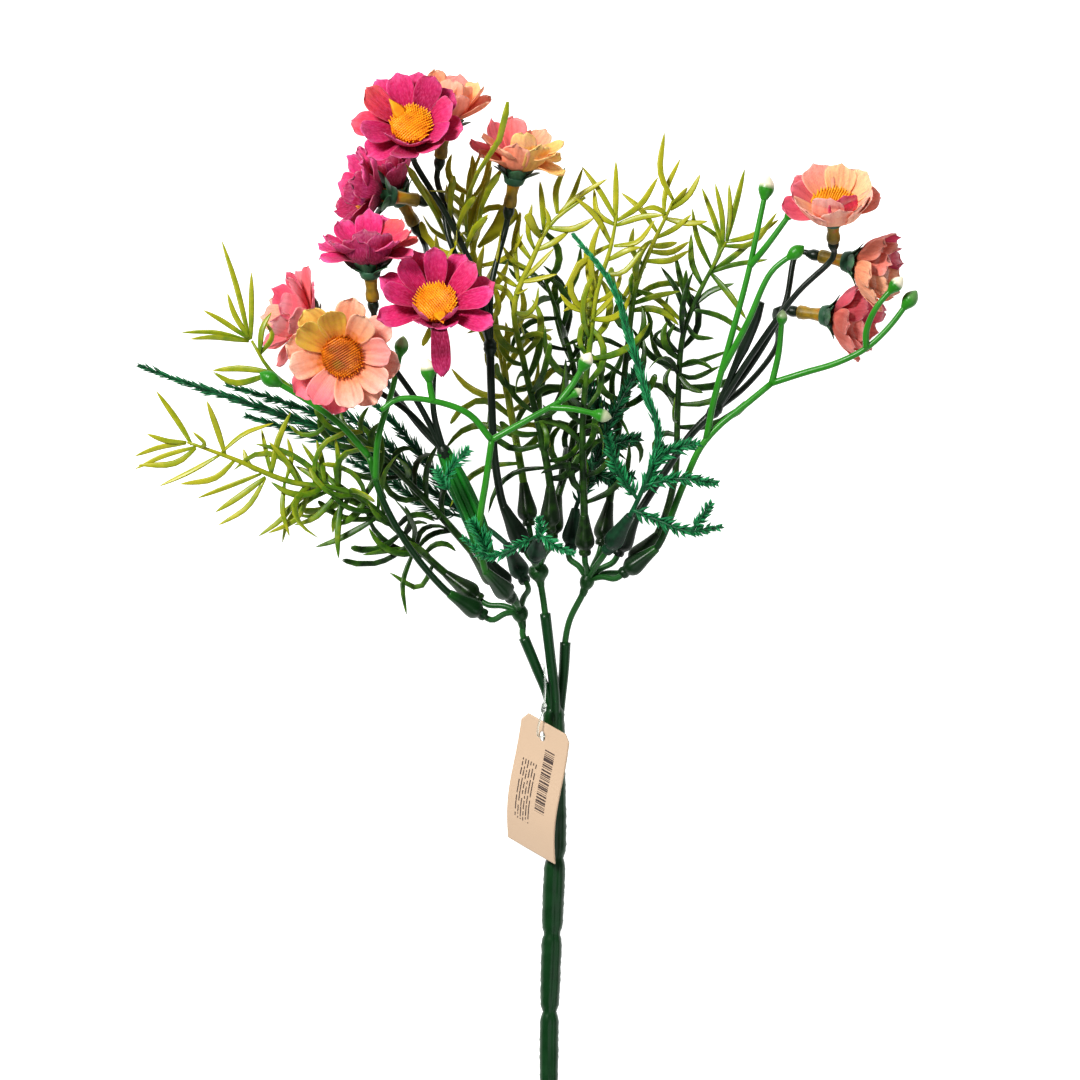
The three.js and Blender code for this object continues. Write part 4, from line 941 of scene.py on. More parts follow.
def disc_of(bloom):
    """Radius of the stamen disc, the height of its neck and of its edge: less open, smaller, higher."""
    cup = math.radians(bloom["cup"])
    disc = DISC_RADIUS * (1 - 0.014 * max(0, bloom["cup"] - 25))
    neck = max(1.8, PETAL_RING * math.sin(cup) + 0.7)
    edge = disc * math.tan(cup + math.radians(6)) + 0.5 - bloom.get("sunk", 0)
    return disc, neck, max(edge, neck + 1)


STAMEN_ROW = 0.7  # mm between rows of stamens
STAMEN_STEP = 0.66  # mm between stamens in a row
BED = 0.4  # the place on the dye of the bed that they stand on


def stamens(bloom):
    """The shank, the cup on it, and rows of upright pointed stamens."""
    heap = Heap()
    draw = Draws(bloom["seed"] + 9000)
    disc, neck, edge = disc_of(bloom)
    # A span under 1 keeps the stamens and their webs near the deep orange of the bed: painted shade on the
    # disc.
    span = bloom.get("span", 1.0)
    levels = [
        (-SHANK_LENGTH, 1.75), (-SHANK_LENGTH + 0.5, 2.1), (-SHANK_LENGTH + 2.2, 2.1), (-8, 1.75), (-6, 1.9),
        (-3.6, 2.3), (-1, 2.1), (neck, 2.1), (edge - 1.1, disc * 0.93), (edge - 0.5, disc),
        (edge, disc * 0.9),
    ]
    cup = round_model(24, levels)
    turns = np.arctan2(cup.points[:, 1], cup.points[:, 0])
    # The shank has eight faint ribs, and is darkest at its end.
    ribs = np.where(cup.points[:, 2] < neck, 1 + 0.035 * np.cos(turns * 8), 1.0)
    points = cup.points * np.stack([ribs, ribs, np.ones_like(ribs)], axis=1)
    heap.put(cup, on_bloom(bloom, points), along=np.clip((cup.points[:, 2] + 13) / 34, 0.02, 0.45))
    rows = int(disc / STAMEN_ROW)
    comb = math.radians(bloom["comb"])
    combed = Vector(bloom["basis"] @ np.array((math.cos(comb), math.sin(comb), 0)))
    combed = Vector((combed.x, combed.y, 0)).normalized()
    beside = Vector((-combed.y, combed.x, 0))
    for row in range(-rows, rows + 1):
        y = row * STAMEN_ROW
        run = math.sqrt(max(disc**2 * 0.9 - y**2, 0))
        if run > 1:
            # The web that a row of stamens stands on.
            ends = [beside * y + combed * (run * turn) for turn in (-1, -0.5, 0, 0.5, 1)]
            crown = [p + UP * (edge + 1.9 - 1.5 * (p.length / disc) ** 2) for p in ends]
            web = Path(crown, samples=12, per_stretch=4)
            heap.lay(THREAD_ROD, web, [0.42, 0.42], [0.7, 0.8, 0.7], bloom, along=BED + 0.22 * span)
        steps = int(disc / STAMEN_STEP) + 1
        for step in range(-steps, steps + 1):
            x = (step + 0.5 * (row % 2)) * STAMEN_STEP
            out = math.hypot(x, y)
            if out > disc * 0.95:
                continue
            x += draw.between(-0.08, 0.08)
            share = out / disc
            height = 3.1 - 1.5 * share**2 + draw.between(-0.3, 0.3)
            splay = 0.26 * share**2
            base = combed * x + beside * y + UP * (edge - 0.2)
            head = base + (combed * x + beside * y) * splay + combed * 0.5 + UP * height
            stamen = Path([base, base.lerp(head, 0.5), head], hint=(0, 1, 0), samples=5, per_stretch=3)
            tone = 0.12 + 0.46 * STAMEN_POINT.points[:, 2] + draw.between(-0.06, 0.06)
            dye = np.clip(BED + tone * span, 0, 1)
            heap.lay(STAMEN_POINT, stamen, [0.33, 0.33], [0.33, 0.33], bloom, along=dye)
    if "flake" in bloom:
        # A pointed scale of the same vinyl at the disc's edge.
        turn = math.radians(bloom["flake"])
        way = Vector((math.cos(turn), math.sin(turn), 0))
        turned = Vector(bloom["basis"] @ np.array(way))
        out = Vector((turned.x, turned.y, 0)).normalized()
        line = [out * (disc - 2.5) + UP * (edge + 1.6), out * (disc + 0.6) + UP * (edge + 3.4),
                out * (disc + 3.4) + UP * (edge + 4.6)]
        scale = Path(line, samples=8, per_stretch=4)
        heap.lay(SLIM_LEAF, scale, [3.4, 2.4, 1.6, 0.9, 0.6], [0.5, 0.3], bloom, along=0.72)
    name = bloom["name"]
    heap.piece(f"{name}_stamen_disc", STAMEN, "stamen_plastic", f"{name}_centre")


# Of each broad and each narrow sepal: how far it reaches, and its half widths from root to tip, in mm.
SEPALS = [(8.6, [2.0, 2.7, 2.6, 1.8]), (6.6, [1.4, 1.7, 1.6, 1.0])]
SEPAL_LEVEL = -1.9  # mm from the hub, behind the petals


def sepals(bloom):
    """A moulded collar with five broad pointed sepals and five narrow ones between."""
    heap = Heap()
    draw = Draws(bloom["seed"] + 7000)
    cup = math.radians(bloom["cup"]) - BACK_FLATTER - math.radians(4)
    collar = round_model(20, [(-3.4, 2.55), (-3.0, 3.0), (-1.2, 3.5), (-0.6, 3.3)])
    local = collar.points + np.array([0, 0, SEPAL_LEVEL + 0.9])
    heap.put(collar, on_bloom(bloom, local), along=0.1)
    for k in range(10):
        around = 2 * math.pi * (k + 1) / 10 + draw.between(-0.05, 0.05)
        reach, breadth = SEPALS[k % 2]
        # Where the petals are bent up, the sepals behind them rise too.
        slope = cup + draw.between(-0.06, 0.06) + max(0, bend_of(bloom, around)[0]) * 0.5
        way = Vector((math.cos(around), math.sin(around), 0))
        line = [way * 2.4 + UP * (SEPAL_LEVEL - 0.9)]
        for length, lift in ((reach * 0.6, -0.5), (reach, -0.1)):
            line.append(
                way * (length * math.cos(slope)) + UP * (SEPAL_LEVEL + lift + length * math.sin(slope))
            )
        blade = Path(line, samples=8, per_stretch=4)
        heap.lay(SLIM_LEAF, blade, breadth, [0.5, 0.4, 0.3], bloom, along=SLIM_LEAF.points[:, 2] * 0.7)
    name = bloom["name"]
    heap.piece(f"{name}_calyx", SEPAL, "sepal_plastic", f"{name}_sepals", lowest=LOWEST)


for bloom in BLOOMS:
    petals(bloom)
    stamens(bloom)
    sepals(bloom)


# ---- stalk, sleeves and inner stems --------------------------------------------------------------

STALK_LINE = [
    (2.8, -1, 2.1), (2.8, 10, 2.1), (3, 24, 4.2), (3.4, 38, 6.6), (4.2, 60, 10.2), (4.8, 76, 12.8),
    (4.6, 98, 16.4), (4.2, 120, 20),
]
STALK_HALF = 3.25  # mm, half its width
STALK_DEEP = 2.9  # mm, half its depth
# Where the stalk's mouldings join it is pinched: distance along it, and how far that narrows it.
PINCHES = [(-1, 0.3), (23.5, 0.25), (48.5, 0.2), (72.5, 0.22), (121, 0.3)]
FIRST_JOINT, JOINT_STEP = 23.5, 24.5  # mm, about where the pinches are, for the swelling between them
CREASE_TURN = 0.28  # radians that the crease lies to the right of the stalk's top
# Each sleeve ends the stalk on its side and holds an inner stem, which goes on above its mouth.
FORKS = {
    "left": {
        "sleeve": [(3.6, 108, 18), (2.8, 121, 21), (-1, 131, 23.4), (-5, 140.7, 25)],
        "stem": [(-5.4, 144, 25.6), (-6.2, 148, 26.5)],
        "cup": 2.6,
    },
    "middle": {
        "sleeve": [(4.4, 108, 18.8), (4.6, 122, 22.2), (3.2, 135, 25.2), (1.6, 148.2, 27.6)],
        "stem": [(0.8, 154, 28.4), (-0.4, 161, 29.6)],
        "cup": 3.2,
    },
    "right": {
        "sleeve": [(5, 108, 17.4), (6.4, 121, 18.6), (7.4, 130, 19.2), (7.9, 139.2, 19.8)],
        "stem": [(9.4, 146.5, 20.8), (13.4, 154.5, 22.4), (14.6, 158, 23)],
        "cup": 2.3,
    },
}

SLEEVE_RADII = [1.85, 1.75, 1.65, 1.62, 1.6, 1.6, 1.66, 1.7]
MOUTH = 0.72  # a sleeve's bore, as a share of its radius
MOUTH_DEPTH = 5  # mm


def stalk():
    """The two-lobed stalk with its pinched joints and the crease along its top, and the sleeves."""
    heap = Heap()
    path = Path(STALK_LINE, samples=121)
    model = rod_model(36, 110)
    turns = np.arctan2(model.points[:, 1], model.points[:, 0])
    share = model.points[:, 2]
    length = share * path.length - 1
    width = np.ones_like(share)
    for place, depth in PINCHES:
        width -= depth * np.exp(-(((length - place) / 1.5) ** 2))
    # It tapers a little towards its cut end, and swells between its joints.
    width *= np.interp(length, [-1, 25, 45, 60, 121], [0.84, 0.88, 0.95, 1.0, 1.0])
    width += 0.035 * np.abs(np.sin(math.pi * (length - FIRST_JOINT) / JOINT_STEP))
    facing_up = np.cos(turns - math.pi / 2)
    # Its surface is uneven by a hundredth or two.
    draw = Draws(77)
    waves = [(draw.between(0.5, 2.2), draw.between(0, FULL_TURN), draw.between(1, 4)) for _ in range(9)]
    rough = sum(np.sin(length * rate + phase + turns * around) for rate, phase, around in waves)
    middle = math.pi / 2 - CREASE_TURN + 0.1 * np.sin(length * 0.11)
    crease = 0.2 * np.exp(-(((turns - middle) / 0.13) ** 2))
    under = 0.12 * np.exp(-(((np.abs(turns + math.pi / 2)) / 0.2) ** 2))
    # Flash along the mould's parting line, on both sides.
    flash = 0.05 * np.exp(-((np.sin(turns) / 0.12) ** 2)) * (0.5 + 0.5 * np.sin(length * 2.3))
    lobe = 1 + 0.05 * np.clip(facing_up, 0, 1) - crease - under + 0.006 * rough + flash
    radius = np.hypot(model.points[:, 0], model.points[:, 1])
    x = np.cos(turns) * radius * STALK_HALF * width * lobe
    z = np.sin(turns) * radius * STALK_DEEP * width * lobe
    places = path.at(share)[0]
    # Its sections stand upright, and square to the bunch's length as seen from above.
    heap.put(model, np.stack([places[:, 0] + x, places[:, 1], places[:, 2] + z], axis=1))
    for fork in FORKS.values():
        # A sleeve is closed at its start, and its mouth goes down inside it.
        sleeve = Path(fork["sleeve"], samples=40)
        down = MOUTH_DEPTH / sleeve.length
        levels = [(i / 30, 1.0) for i in range(31)] + [(1.0, MOUTH), (1 - down, MOUTH)]
        heap.lay(round_model(16, levels), sleeve, SLEEVE_RADII, SLEEVE_RADII)
    heap.piece("two_lobed_stalk", STALK, "stalk_plastic", "main_stalk")


stalk()


# The sockets that sprays are pushed on with: base and tip of each, and the fork whose twig holds it.
SOCKETS = {
    "flowers_left": ("left", (-9.4, 155.5, 31), (-16, 164.5, 36)),
    "flowers_top": ("middle", (-4.4, 168, 33), (-11, 181, 38)),
    "flowers_right": ("right", (24, 166.5, 26), (29.5, 177.5, 28)),
    "needles_left_low": ("left", (-18.3, 152.4, 24), (-28.6, 160, 22)),
    "needles_left_high": ("left", (-12.5, 156.5, 19), (-20.5, 166.5, 16)),
    "needles_top": ("middle", (-3.4, 175.5, 25), (-5, 188, 25)),
    "needles_middle": ("middle", (3.1, 173.6, 33), (3.2, 187, 35)),
    "needles_centre": ("middle", (3.6, 171.5, 20), (5.5, 184, 15)),
    "needles_right_tall": ("right", (14, 166.5, 29), (13.8, 178, 32)),
    "needles_right_back": ("right", (19, 169.5, 16), (21.5, 182, 15)),
    "needles_right": ("right", (27.5, 163, 18), (36, 172, 17)),
    "fern_left": ("left", (-4.6, 158, 17), (-10, 169, 11)),
    "fern_right": ("right", (20.6, 167.5, 34), (27.5, 178, 42)),
    "fern_low": ("middle", (-1.4, 165, 38), (-0.6, 171, 46)),
    "fern_dark": ("right", (9.4, 168, 22), (11, 180, 21)),
    "buds_front": ("left", (-8.6, 152.6, 37), (-16.4, 161, 47)),
    "buds_right": ("right", (25.4, 160.5, 29), (35.5, 168, 33)),
    "buds_left": ("left", (-17, 147.5, 29), (-27.5, 154, 32)),
}
SOCKETS = {name: (fork, Vector(base), Vector(tip)) for name, (fork, base, tip) in SOCKETS.items()}
INNER_RADIUS = 1.0  # mm, of the stems that stand in the sleeves
BORE_DEPTH = 4  # mm, of a socket


def forks():
    """The inner stem of each sleeve, with the cup on its end and a twig for each socket that it holds."""
    for side, fork in FORKS.items():
        heap = Heap()
        sleeve = [Vector(p) for p in fork["sleeve"]]
        inward = (sleeve[-2] - sleeve[-1]).normalized()
        # It stands 3.5 mm deep in its sleeve.
        stem = [sleeve[-1] + inward * 3.5, sleeve[-1] - inward * 1, *map(Vector, fork["stem"])]
        path = limb(heap, stem, [INNER_RADIUS] * 2, STEM_ROD)
        top = stem[-1]
        along = path.way(1)
        # The cup that the twigs stand in: flared, with a rim.
        size = fork["cup"]
        limb(
            heap,
            [top - along * 4.5, top - along, top + along * 2.2],
            [1.05, 1.2, 1.3, 0.55 * size, 0.78 * size, 0.93 * size, size, size, 0.9 * size, 0.8 * size],
            THICK_ROD,
            tone=0.35,
        )
        tip = top + along * 1.5
        for holder, base, end in SOCKETS.values():
            if holder != side:
                continue
            way = (end - base).normalized()
            foot = base - way * 2.5
            start = top.lerp(tip, 0.5)
            middle = start.lerp(foot, 0.5) + along * 0.8
            limb(heap, [start, middle, foot, base + way * (BORE_DEPTH - 0.6)], [1.0, 0.95, 0.95, 0.8])
        heap.piece(f"{side}_inner_stems", INNER_STEM, "inner_stem_plastic", f"{side}_fork")


forks()

# Radii of a socket from its open base to its tip: a rolled rim, a swelling, a waist and a neck.
SOCKET_RADII = [1.75, 1.95, 1.65, 2.45, 2.85, 2.9, 2.8, 2.62, 2.42, 2.2, 2.02, 1.85, 1.7, 1.58, 1.45, 1.3]


def socket(heap, name, tone=0.0):
    """The moulded bulb that a spray or sprig is pushed on with, with four soft ridges along it."""
    base, tip = SOCKETS[name][1:]
    way = (tip - base).normalized()
    path = Path([base, base.lerp(tip, 0.5), tip + way], samples=24)
    rod = THICK_ROD.points
    turns = np.arctan2(rod[:, 1], rod[:, 0])
    ridges = 1 + 0.09 * np.cos(turns * 4 + 0.4) * np.sin(math.pi * rod[:, 2]) ** 0.6
    ridged = THICK_ROD._replace(points=rod * np.stack([ridges, ridges, np.ones_like(ridges)], axis=1))
    heap.lay(ridged, path, SOCKET_RADII, SOCKET_RADII, tone=tone)


def core_line(name, points):
    """A spray's middle stem starts inside its socket."""
    base, tip = SOCKETS[name][1:]
    way = (tip - base).normalized()
    return [tip - way * 3, tip + way, *map(Vector, points)]


# ---- flower sprays -------------------------------------------------------------------------------

# stem: the points up to the knuckle. branches: for each blossom's number, the points from there to it.
# runners: how many bright runners lie along the stem. bare: a branch end that has lost its blossom.
SPRAYS = {
    "flowers_left": {
        "runners": 5,
        "stem": [(-19.5, 175, 41), (-25, 188, 47), (-30, 199, 51)],
        "branches": {
            5: [(-38, 214, 56), (-48, 229, 60)],
            6: [(-33, 212, 56)],
            7: [(-41, 211, 50), (-55, 221, 46)],
            8: [(-37, 206, 42), (-50, 224, 22)],
        },
    },
    "flowers_top": {
        "stem": [(-14, 196, 42), (-15, 214, 44), (-15.5, 232, 44)],
        "branches": {
            1: [(-18, 248, 48), (-28, 270, 53)],
            2: [(-20, 252, 42), (-28, 272, 40)],
            3: [(-22, 248, 38), (-34, 258, 33)],
            4: [(-19, 244, 47), (-28, 264, 47)],
            9: [(-15, 250, 45)],
        },
    },
    "flowers_right": {
        "bare": [(61, 226, 37), (65.5, 236, 40), (68.5, 245, 42)],
        "stem": [(38, 191, 30), (47, 204, 32), (55, 212, 33)],
        "branches": {
            10: [(66, 229, 38), (80, 248, 44)],
            11: [(66, 226, 33), (76, 244, 37)],
            12: [(64, 219, 27), (74, 232, 18)],
        },
    },
}


def flower_sprays():
    """Each spray's socket, stem, knuckle and branches, with the ends that the blossoms are pushed on."""
    for name, spray in SPRAYS.items():
        heap = Heap()
        socket(heap, name)
        runners = spray.get("runners", 0)
        fresh = np.clip(1.2 - STEM_ROD.points[:, 2] * 1.6, 0, 1) if runners else 0.0
        line = core_line(name, spray["stem"])
        middle = limb(heap, line, [1.3, 1.2, 1.2, 1.3], STEM_ROD, samples=48, tint=fresh)
        # Bright runners lie along the stem, from the socket to the knuckle.
        for k in range(runners):
            around = math.pi * (k + 0.5) / runners
            offset = Vector((math.cos(around) * 2.5, math.cos(around) * 1.0, math.sin(around) * 2.0))
            beside = [line[1] + offset * 0.8, line[2] + offset, line[3] + offset, line[4] + offset * 0.6]
            limb(heap, beside, [0.8, 0.85, 0.9, 0.85, 0.6], STEM_ROD, tint=1.0 if k % 2 else 0.6)
        joint = Vector(spray["stem"][-1])
        way = middle.way(1)
        # The knuckle where the branches leave, with its moulded ring.
        limb(
            heap, [joint - way * 4, joint, joint + way * 1.6],
            [1.3, 1.45, 1.9, 2.15, 1.95, 2.1, 1.7, 1.2], THICK_ROD,
        )
        for number, through in spray["branches"].items():
            bloom = BLOOMS[number - 1]
            facing, end = bloom["facing"], bloom["socket"]
            line = [joint, *map(Vector, through), end - facing * 7, end - facing * 2.5, end + facing * 2.6]
            limb(heap, line, [1.05, 0.95, 0.9, 0.9, 0.95, 0.9], STEM_ROD, samples=48)
            # The swollen end that the shank is pushed over.
            limb(
                heap, [end - facing * 4.2, end - facing * 2, end - facing * 0.25],
                [0.95, 1.35, 1.75, 1.8, 1.6], TWIG_ROD,
            )
        if "bare" in spray:
            limb(heap, [joint, *spray["bare"]], [1.0, 0.9, 0.95, 1.2, 1.65, 1.6, 1.75, 1.3], STEM_ROD)
        heap.piece(f"{name}_spray", SPRAY_STEM, "bloom_stem_plastic", name)


flower_sprays()


# ---- needle sprigs -------------------------------------------------------------------------------

LOWEST_LEAF = 2.0  # mm over the table

# through: the middle stem's points, above the socket. lime: the shares of the stem between which the dye
# turns from dark to yellow green, and painted_light: how much lighter its stem and leaves are painted, as
# painted light where the blossoms above shade them. long: leaves that the photograph shows clear of the
# rest, as pixel pairs from root over knee to tip, which rise by rise mm more than the others and are wide
# times as wide. blunt: a leaf like that, and its breadth in mm. over: leaves that rise in front of the
# stems, as pixel pairs with heights in mm. The other leaves grow by a rule: the shares of the stem where
# they start and finish, their count, their length in mm and the seed.
SPRIGS = {
    "needles_left_low": dict(
        through=[
            (-42, 172, 27), (-58.6, 185.7, 33), (-78.4, 189.4, 38), (-94.9, 196.2, 41), (-109.4, 201.5, 43),
        ],
        lime=(0.28, 0.8), start=0.1, finish=0.62, count=34, length=19, seed=41,
        long=[
            (191, 449, 180, 425, 156, 391), (184, 443, 167, 441, 147, 434), (182, 447, 160, 447, 135, 456),
            (193, 451, 163, 456, 135, 469), (193, 455, 176, 463, 138, 465), (225, 451, 217, 429, 207, 401),
            (225, 447, 243, 434, 273, 423), (217, 458, 191, 471, 159, 486), (234, 464, 215, 478, 180, 484),
            (258, 481, 234, 484, 197, 498), (262, 488, 238, 497, 215, 512), (260, 494, 247, 507, 218, 525),
            (256, 477, 248, 464, 243, 449), (271, 473, 265, 449, 261, 429), (271, 471, 277, 442, 290, 412),
            (299, 486, 288, 464, 269, 442), (289, 474, 291, 457, 287, 438), (325, 486, 308, 473, 295, 466),
            (282, 488, 282, 510, 289, 536), (303, 492, 282, 518, 258, 536), (310, 494, 297, 518, 268, 533),
            (334, 501, 316, 516, 293, 514), (332, 510, 314, 518, 294, 525), (338, 490, 316, 464, 301, 443),
            (347, 503, 334, 518, 332, 533), (336, 512, 337, 535, 338, 558), (360, 536, 336, 540, 315, 547),
            (340, 486, 338, 460, 335, 438), (325, 475, 321, 460, 316, 440), (198, 449, 205, 444, 193, 432),
            (412, 552, 402, 584, 406, 615), (436, 560, 419, 588, 389, 573), (420, 548, 392, 550, 362, 555),
        ],
    ),
    "needles_left_high": dict(
        through=[(-36, 184, 20), (-56, 203, 30), (-76, 217.3, 36), (-84, 224, 38), (-89.5, 233, 39)],
        lime=(0.4, 1.15), start=0.12, finish=0.7, count=20, length=15, seed=12,
        long=[
            (242, 338, 236, 286, 221, 240), (243, 334, 234, 314, 227, 293), (248, 334, 251, 304, 251, 272),
            (238, 332, 221, 320, 203, 310), (240, 341, 215, 332, 181, 332), (240, 343, 212, 337, 190, 339),
            (260, 351, 262, 327, 271, 312), (266, 372, 238, 368, 212, 370), (260, 384, 234, 383, 213, 372),
            (262, 352, 272, 335, 262, 318),
        ],
    ),
    "needles_top": dict(
        through=[
            (-8.5, 208, 24), (-12, 228, 25), (-18, 250, 28), (-22, 268, 31), (-21, 284, 34),
            (-18.5, 291, 36),
        ],
        # Its leaves lie in the blossoms' shadow and are painted lighter: painted light.
        rise=26, wide=1.3, painted_light=0.22,
        lime=(0.05, 0.45), start=0.08, finish=0.9, count=34, length=19, seed=13,
        long=[
            (450, 241, 440, 212, 406, 165), (446, 227, 449, 202, 453, 176), (453, 236, 476, 205, 504, 166),
            (460, 262, 478, 214, 492, 166), (476, 241, 479, 227, 488, 216), (466, 210, 449, 193, 430, 192),
            (444, 248, 433, 231, 423, 216), (458, 259, 458, 246, 457, 231), (471, 189, 473, 172, 472, 154),
            (468, 300, 478, 270, 484, 246), (452, 284, 440, 262, 436, 236), (474, 292, 496, 262, 501, 232),
        ],
        blunt=[(478, 246, 496, 229, 513, 206, 3.6)],
        over=[
            [(467, 236, 37), (466, 206, 50), (484, 164, 69), (501, 140, 73), (508, 105, 74)],
            [(455, 246, 38), (457, 232, 48), (464, 212, 55), (475, 198, 58)],
            [(478, 232, 38), (481, 211, 50), (488, 192, 57), (499, 176, 60)],
            [(462, 268, 38), (466, 248, 48), (474, 230, 54), (487, 218, 56)],
            [(446, 236, 36), (436, 214, 47), (424, 194, 54), (409, 169, 57)],
            [(449, 240, 36), (450, 215, 48), (451, 195, 55), (454, 177, 58)],
        ],
    ),
    "needles_middle": dict(
        through=[
            (0, 205, 36), (-5, 226, 37), (-8, 244, 38), (-2.5, 258, 40), (3.1, 269, 41), (14, 277.5, 42),
        ],
        lime=(0.25, 0.6), start=0.06, finish=0.6, count=24, length=18, seed=14,
        long=[
            (509, 281, 503, 277, 496, 270), (511, 277, 514, 248, 520, 211), (525, 256, 517, 237, 521, 212),
            (530, 249, 528, 233, 532, 204), (536, 251, 552, 243, 569, 231), (514, 280, 536, 267, 554, 248),
            (516, 278, 532, 280, 557, 274), (509, 288, 519, 293, 528, 288), (551, 231, 572, 229, 594, 218),
            (539, 229, 543, 211, 540, 181), (551, 208, 556, 189, 565, 167), (559, 216, 571, 199, 583, 167),
            (556, 208, 580, 195, 607, 179), (522, 267, 511, 259, 503, 246), (541, 238, 549, 222, 545, 207),
        ],
        blunt=[(541, 238, 533, 226, 527, 214, 1.6)],
    ),
    "needles_centre": dict(
        through=[(10, 200, 14), (11, 222, 14), (6, 240, 15), (1, 254, 17)],
        lime=(0.75, 1.6), start=0.05, finish=1.0, count=28, length=20, seed=15, long=[],
    ),
    "needles_right_tall": dict(
        through=[
            (13.3, 208.3, 36), (15.5, 232, 39), (17.7, 248.6, 41), (21.7, 261, 42), (23.9, 271.9, 43),
        ],
        lime=(0.35, 0.72), start=0.06, finish=0.75, count=26, length=18, seed=16,
        long=[
            (617, 220, 602, 194, 582, 166), (614, 224, 598, 214, 594, 188), (612, 243, 595, 215, 574, 197),
            (616, 227, 616, 191, 616, 161), (621, 222, 640, 205, 658, 177), (621, 226, 641, 217, 664, 215),
            (596, 297, 589, 277, 587, 256), (596, 299, 578, 303, 563, 311), (590, 313, 571, 306, 560, 293),
            (594, 316, 606, 304, 614, 295), (610, 245, 590, 256, 564, 288), (605, 275, 622, 273, 646, 245),
            (621, 249, 637, 242, 655, 220), (611, 262, 628, 250, 641, 247), (603, 282, 590, 268, 584, 252),
        ],
    ),
    "needles_right_back": dict(
        through=[
            (24.8, 208, 17), (27.4, 232, 20), (30, 250.5, 23), (35, 263, 25), (39.7, 272.8, 27),
            (41.5, 277, 28),
        ],
        lime=(0.5, 0.85), start=0.2, finish=0.75, count=20, length=18, seed=17,
        long=[
            (674, 199, 661, 172, 665, 131), (660, 216, 666, 190, 681, 157), (676, 209, 689, 194, 701, 173),
            (674, 204, 680, 196, 688, 186), (667, 216, 690, 222, 708, 220), (651, 243, 665, 244, 678, 241),
            (649, 250, 671, 251, 690, 240), (646, 261, 671, 259, 690, 249), (655, 231, 642, 208, 622, 191),
            (660, 238, 677, 226, 692, 213), (626, 293, 632, 276, 647, 265), (626, 288, 655, 295, 685, 322),
            (626, 302, 655, 295, 681, 290), (640, 262, 632, 246, 634, 226), (668, 214, 655, 206, 642, 208),
        ],
    ),
    "needles_right": dict(
        through=[
            (42, 190, 17), (43, 212, 18), (44.6, 235, 20), (49, 246.8, 22), (53.6, 255.8, 24),
            (58, 264, 26),
        ],
        lime=(0.72, 1.1), start=0.34, finish=0.7, count=14, length=18, seed=18,
        long=[
            (721, 245, 716, 220, 703, 186), (722, 243, 723, 215, 716, 182), (728, 238, 731, 213, 730, 182),
            (730, 236, 737, 203, 746, 167), (728, 240, 754, 234, 780, 218), (726, 243, 752, 243, 778, 211),
            (714, 272, 722, 240, 692, 217), (710, 266, 698, 236, 693, 207), (703, 282, 693, 262, 692, 232),
            (712, 272, 731, 264, 769, 258), (715, 272, 733, 256, 756, 238), (715, 272, 731, 294, 747, 318),
            (685, 316, 677, 287, 662, 265), (692, 306, 683, 283, 676, 252), (694, 304, 687, 288, 687, 268),
            (696, 306, 711, 290, 735, 282), (692, 309, 722, 315, 749, 334), (685, 322, 696, 335, 715, 337),
            (669, 368, 652, 355, 633, 327), (671, 365, 704, 359, 731, 349), (671, 370, 692, 377, 721, 365),
            (639, 347, 655, 336, 666, 326), (674, 352, 668, 338, 676, 322), (672, 372, 690, 386, 704, 392),
        ],
    ),
}


DROPS = (0, 4, 8, 13, 20)  # mm that a leaf's tip may be lowered by, to pass under a blossom


def curved_leaf(heap, model, line, breadth, depth, tones, hint=UP):
    """A leaf through the points of its line, lowered where a blossom is in its way. Says if it fits."""
    root, tip = line[0], line[-1]
    for drop in DROPS:
        lowered = [p - UP * (drop * (p - root).length / (tip - root).length) for p in line]
        clear = [*lowered[1:], lowered[-2].lerp(lowered[-1], 0.5), root.lerp(lowered[1], 0.6)]
        if min(p.z for p in clear) < LOWEST_LEAF:
            break
        if any(inside_head(p, 0.8) for p in clear):
            continue
        path = Path(lowered, hint, samples=10, per_stretch=5)
        share = model.points[:, 2]
        # Painted highlight: the tone is lighter along both edges of the leaf, where light catches them.
        tone = tones[0] + (tones[1] - tones[0]) * share + 0.14 * np.abs(model.points[:, 0]) ** 3
        heap.lay(model, path, breadth, depth, along=share, tone=np.clip(tone, 0, 1))
        return True
    return False


def nearest_share(path, place):
    """The share of a stem's length that is nearest to a place, as seen from above."""
    gaps = np.hypot(path.places[:, 0] - place.x, path.places[:, 1] - place.y)
    return float(path.shares[int(np.argmin(gaps))])


def tone_at(sprig, share):
    """How far the dye has turned to yellow green at a share of the sprig's stem, with the sprig's painted
    light added.
    """
    start, end = sprig["lime"]
    # A sprig's painted light lifts the tone of its stem and leaves where they lie in shadow.
    return 0.12 + sprig.get("painted_light", 0) + 0.7 * min(1.0, max(0.0, (share - start) / (end - start)))


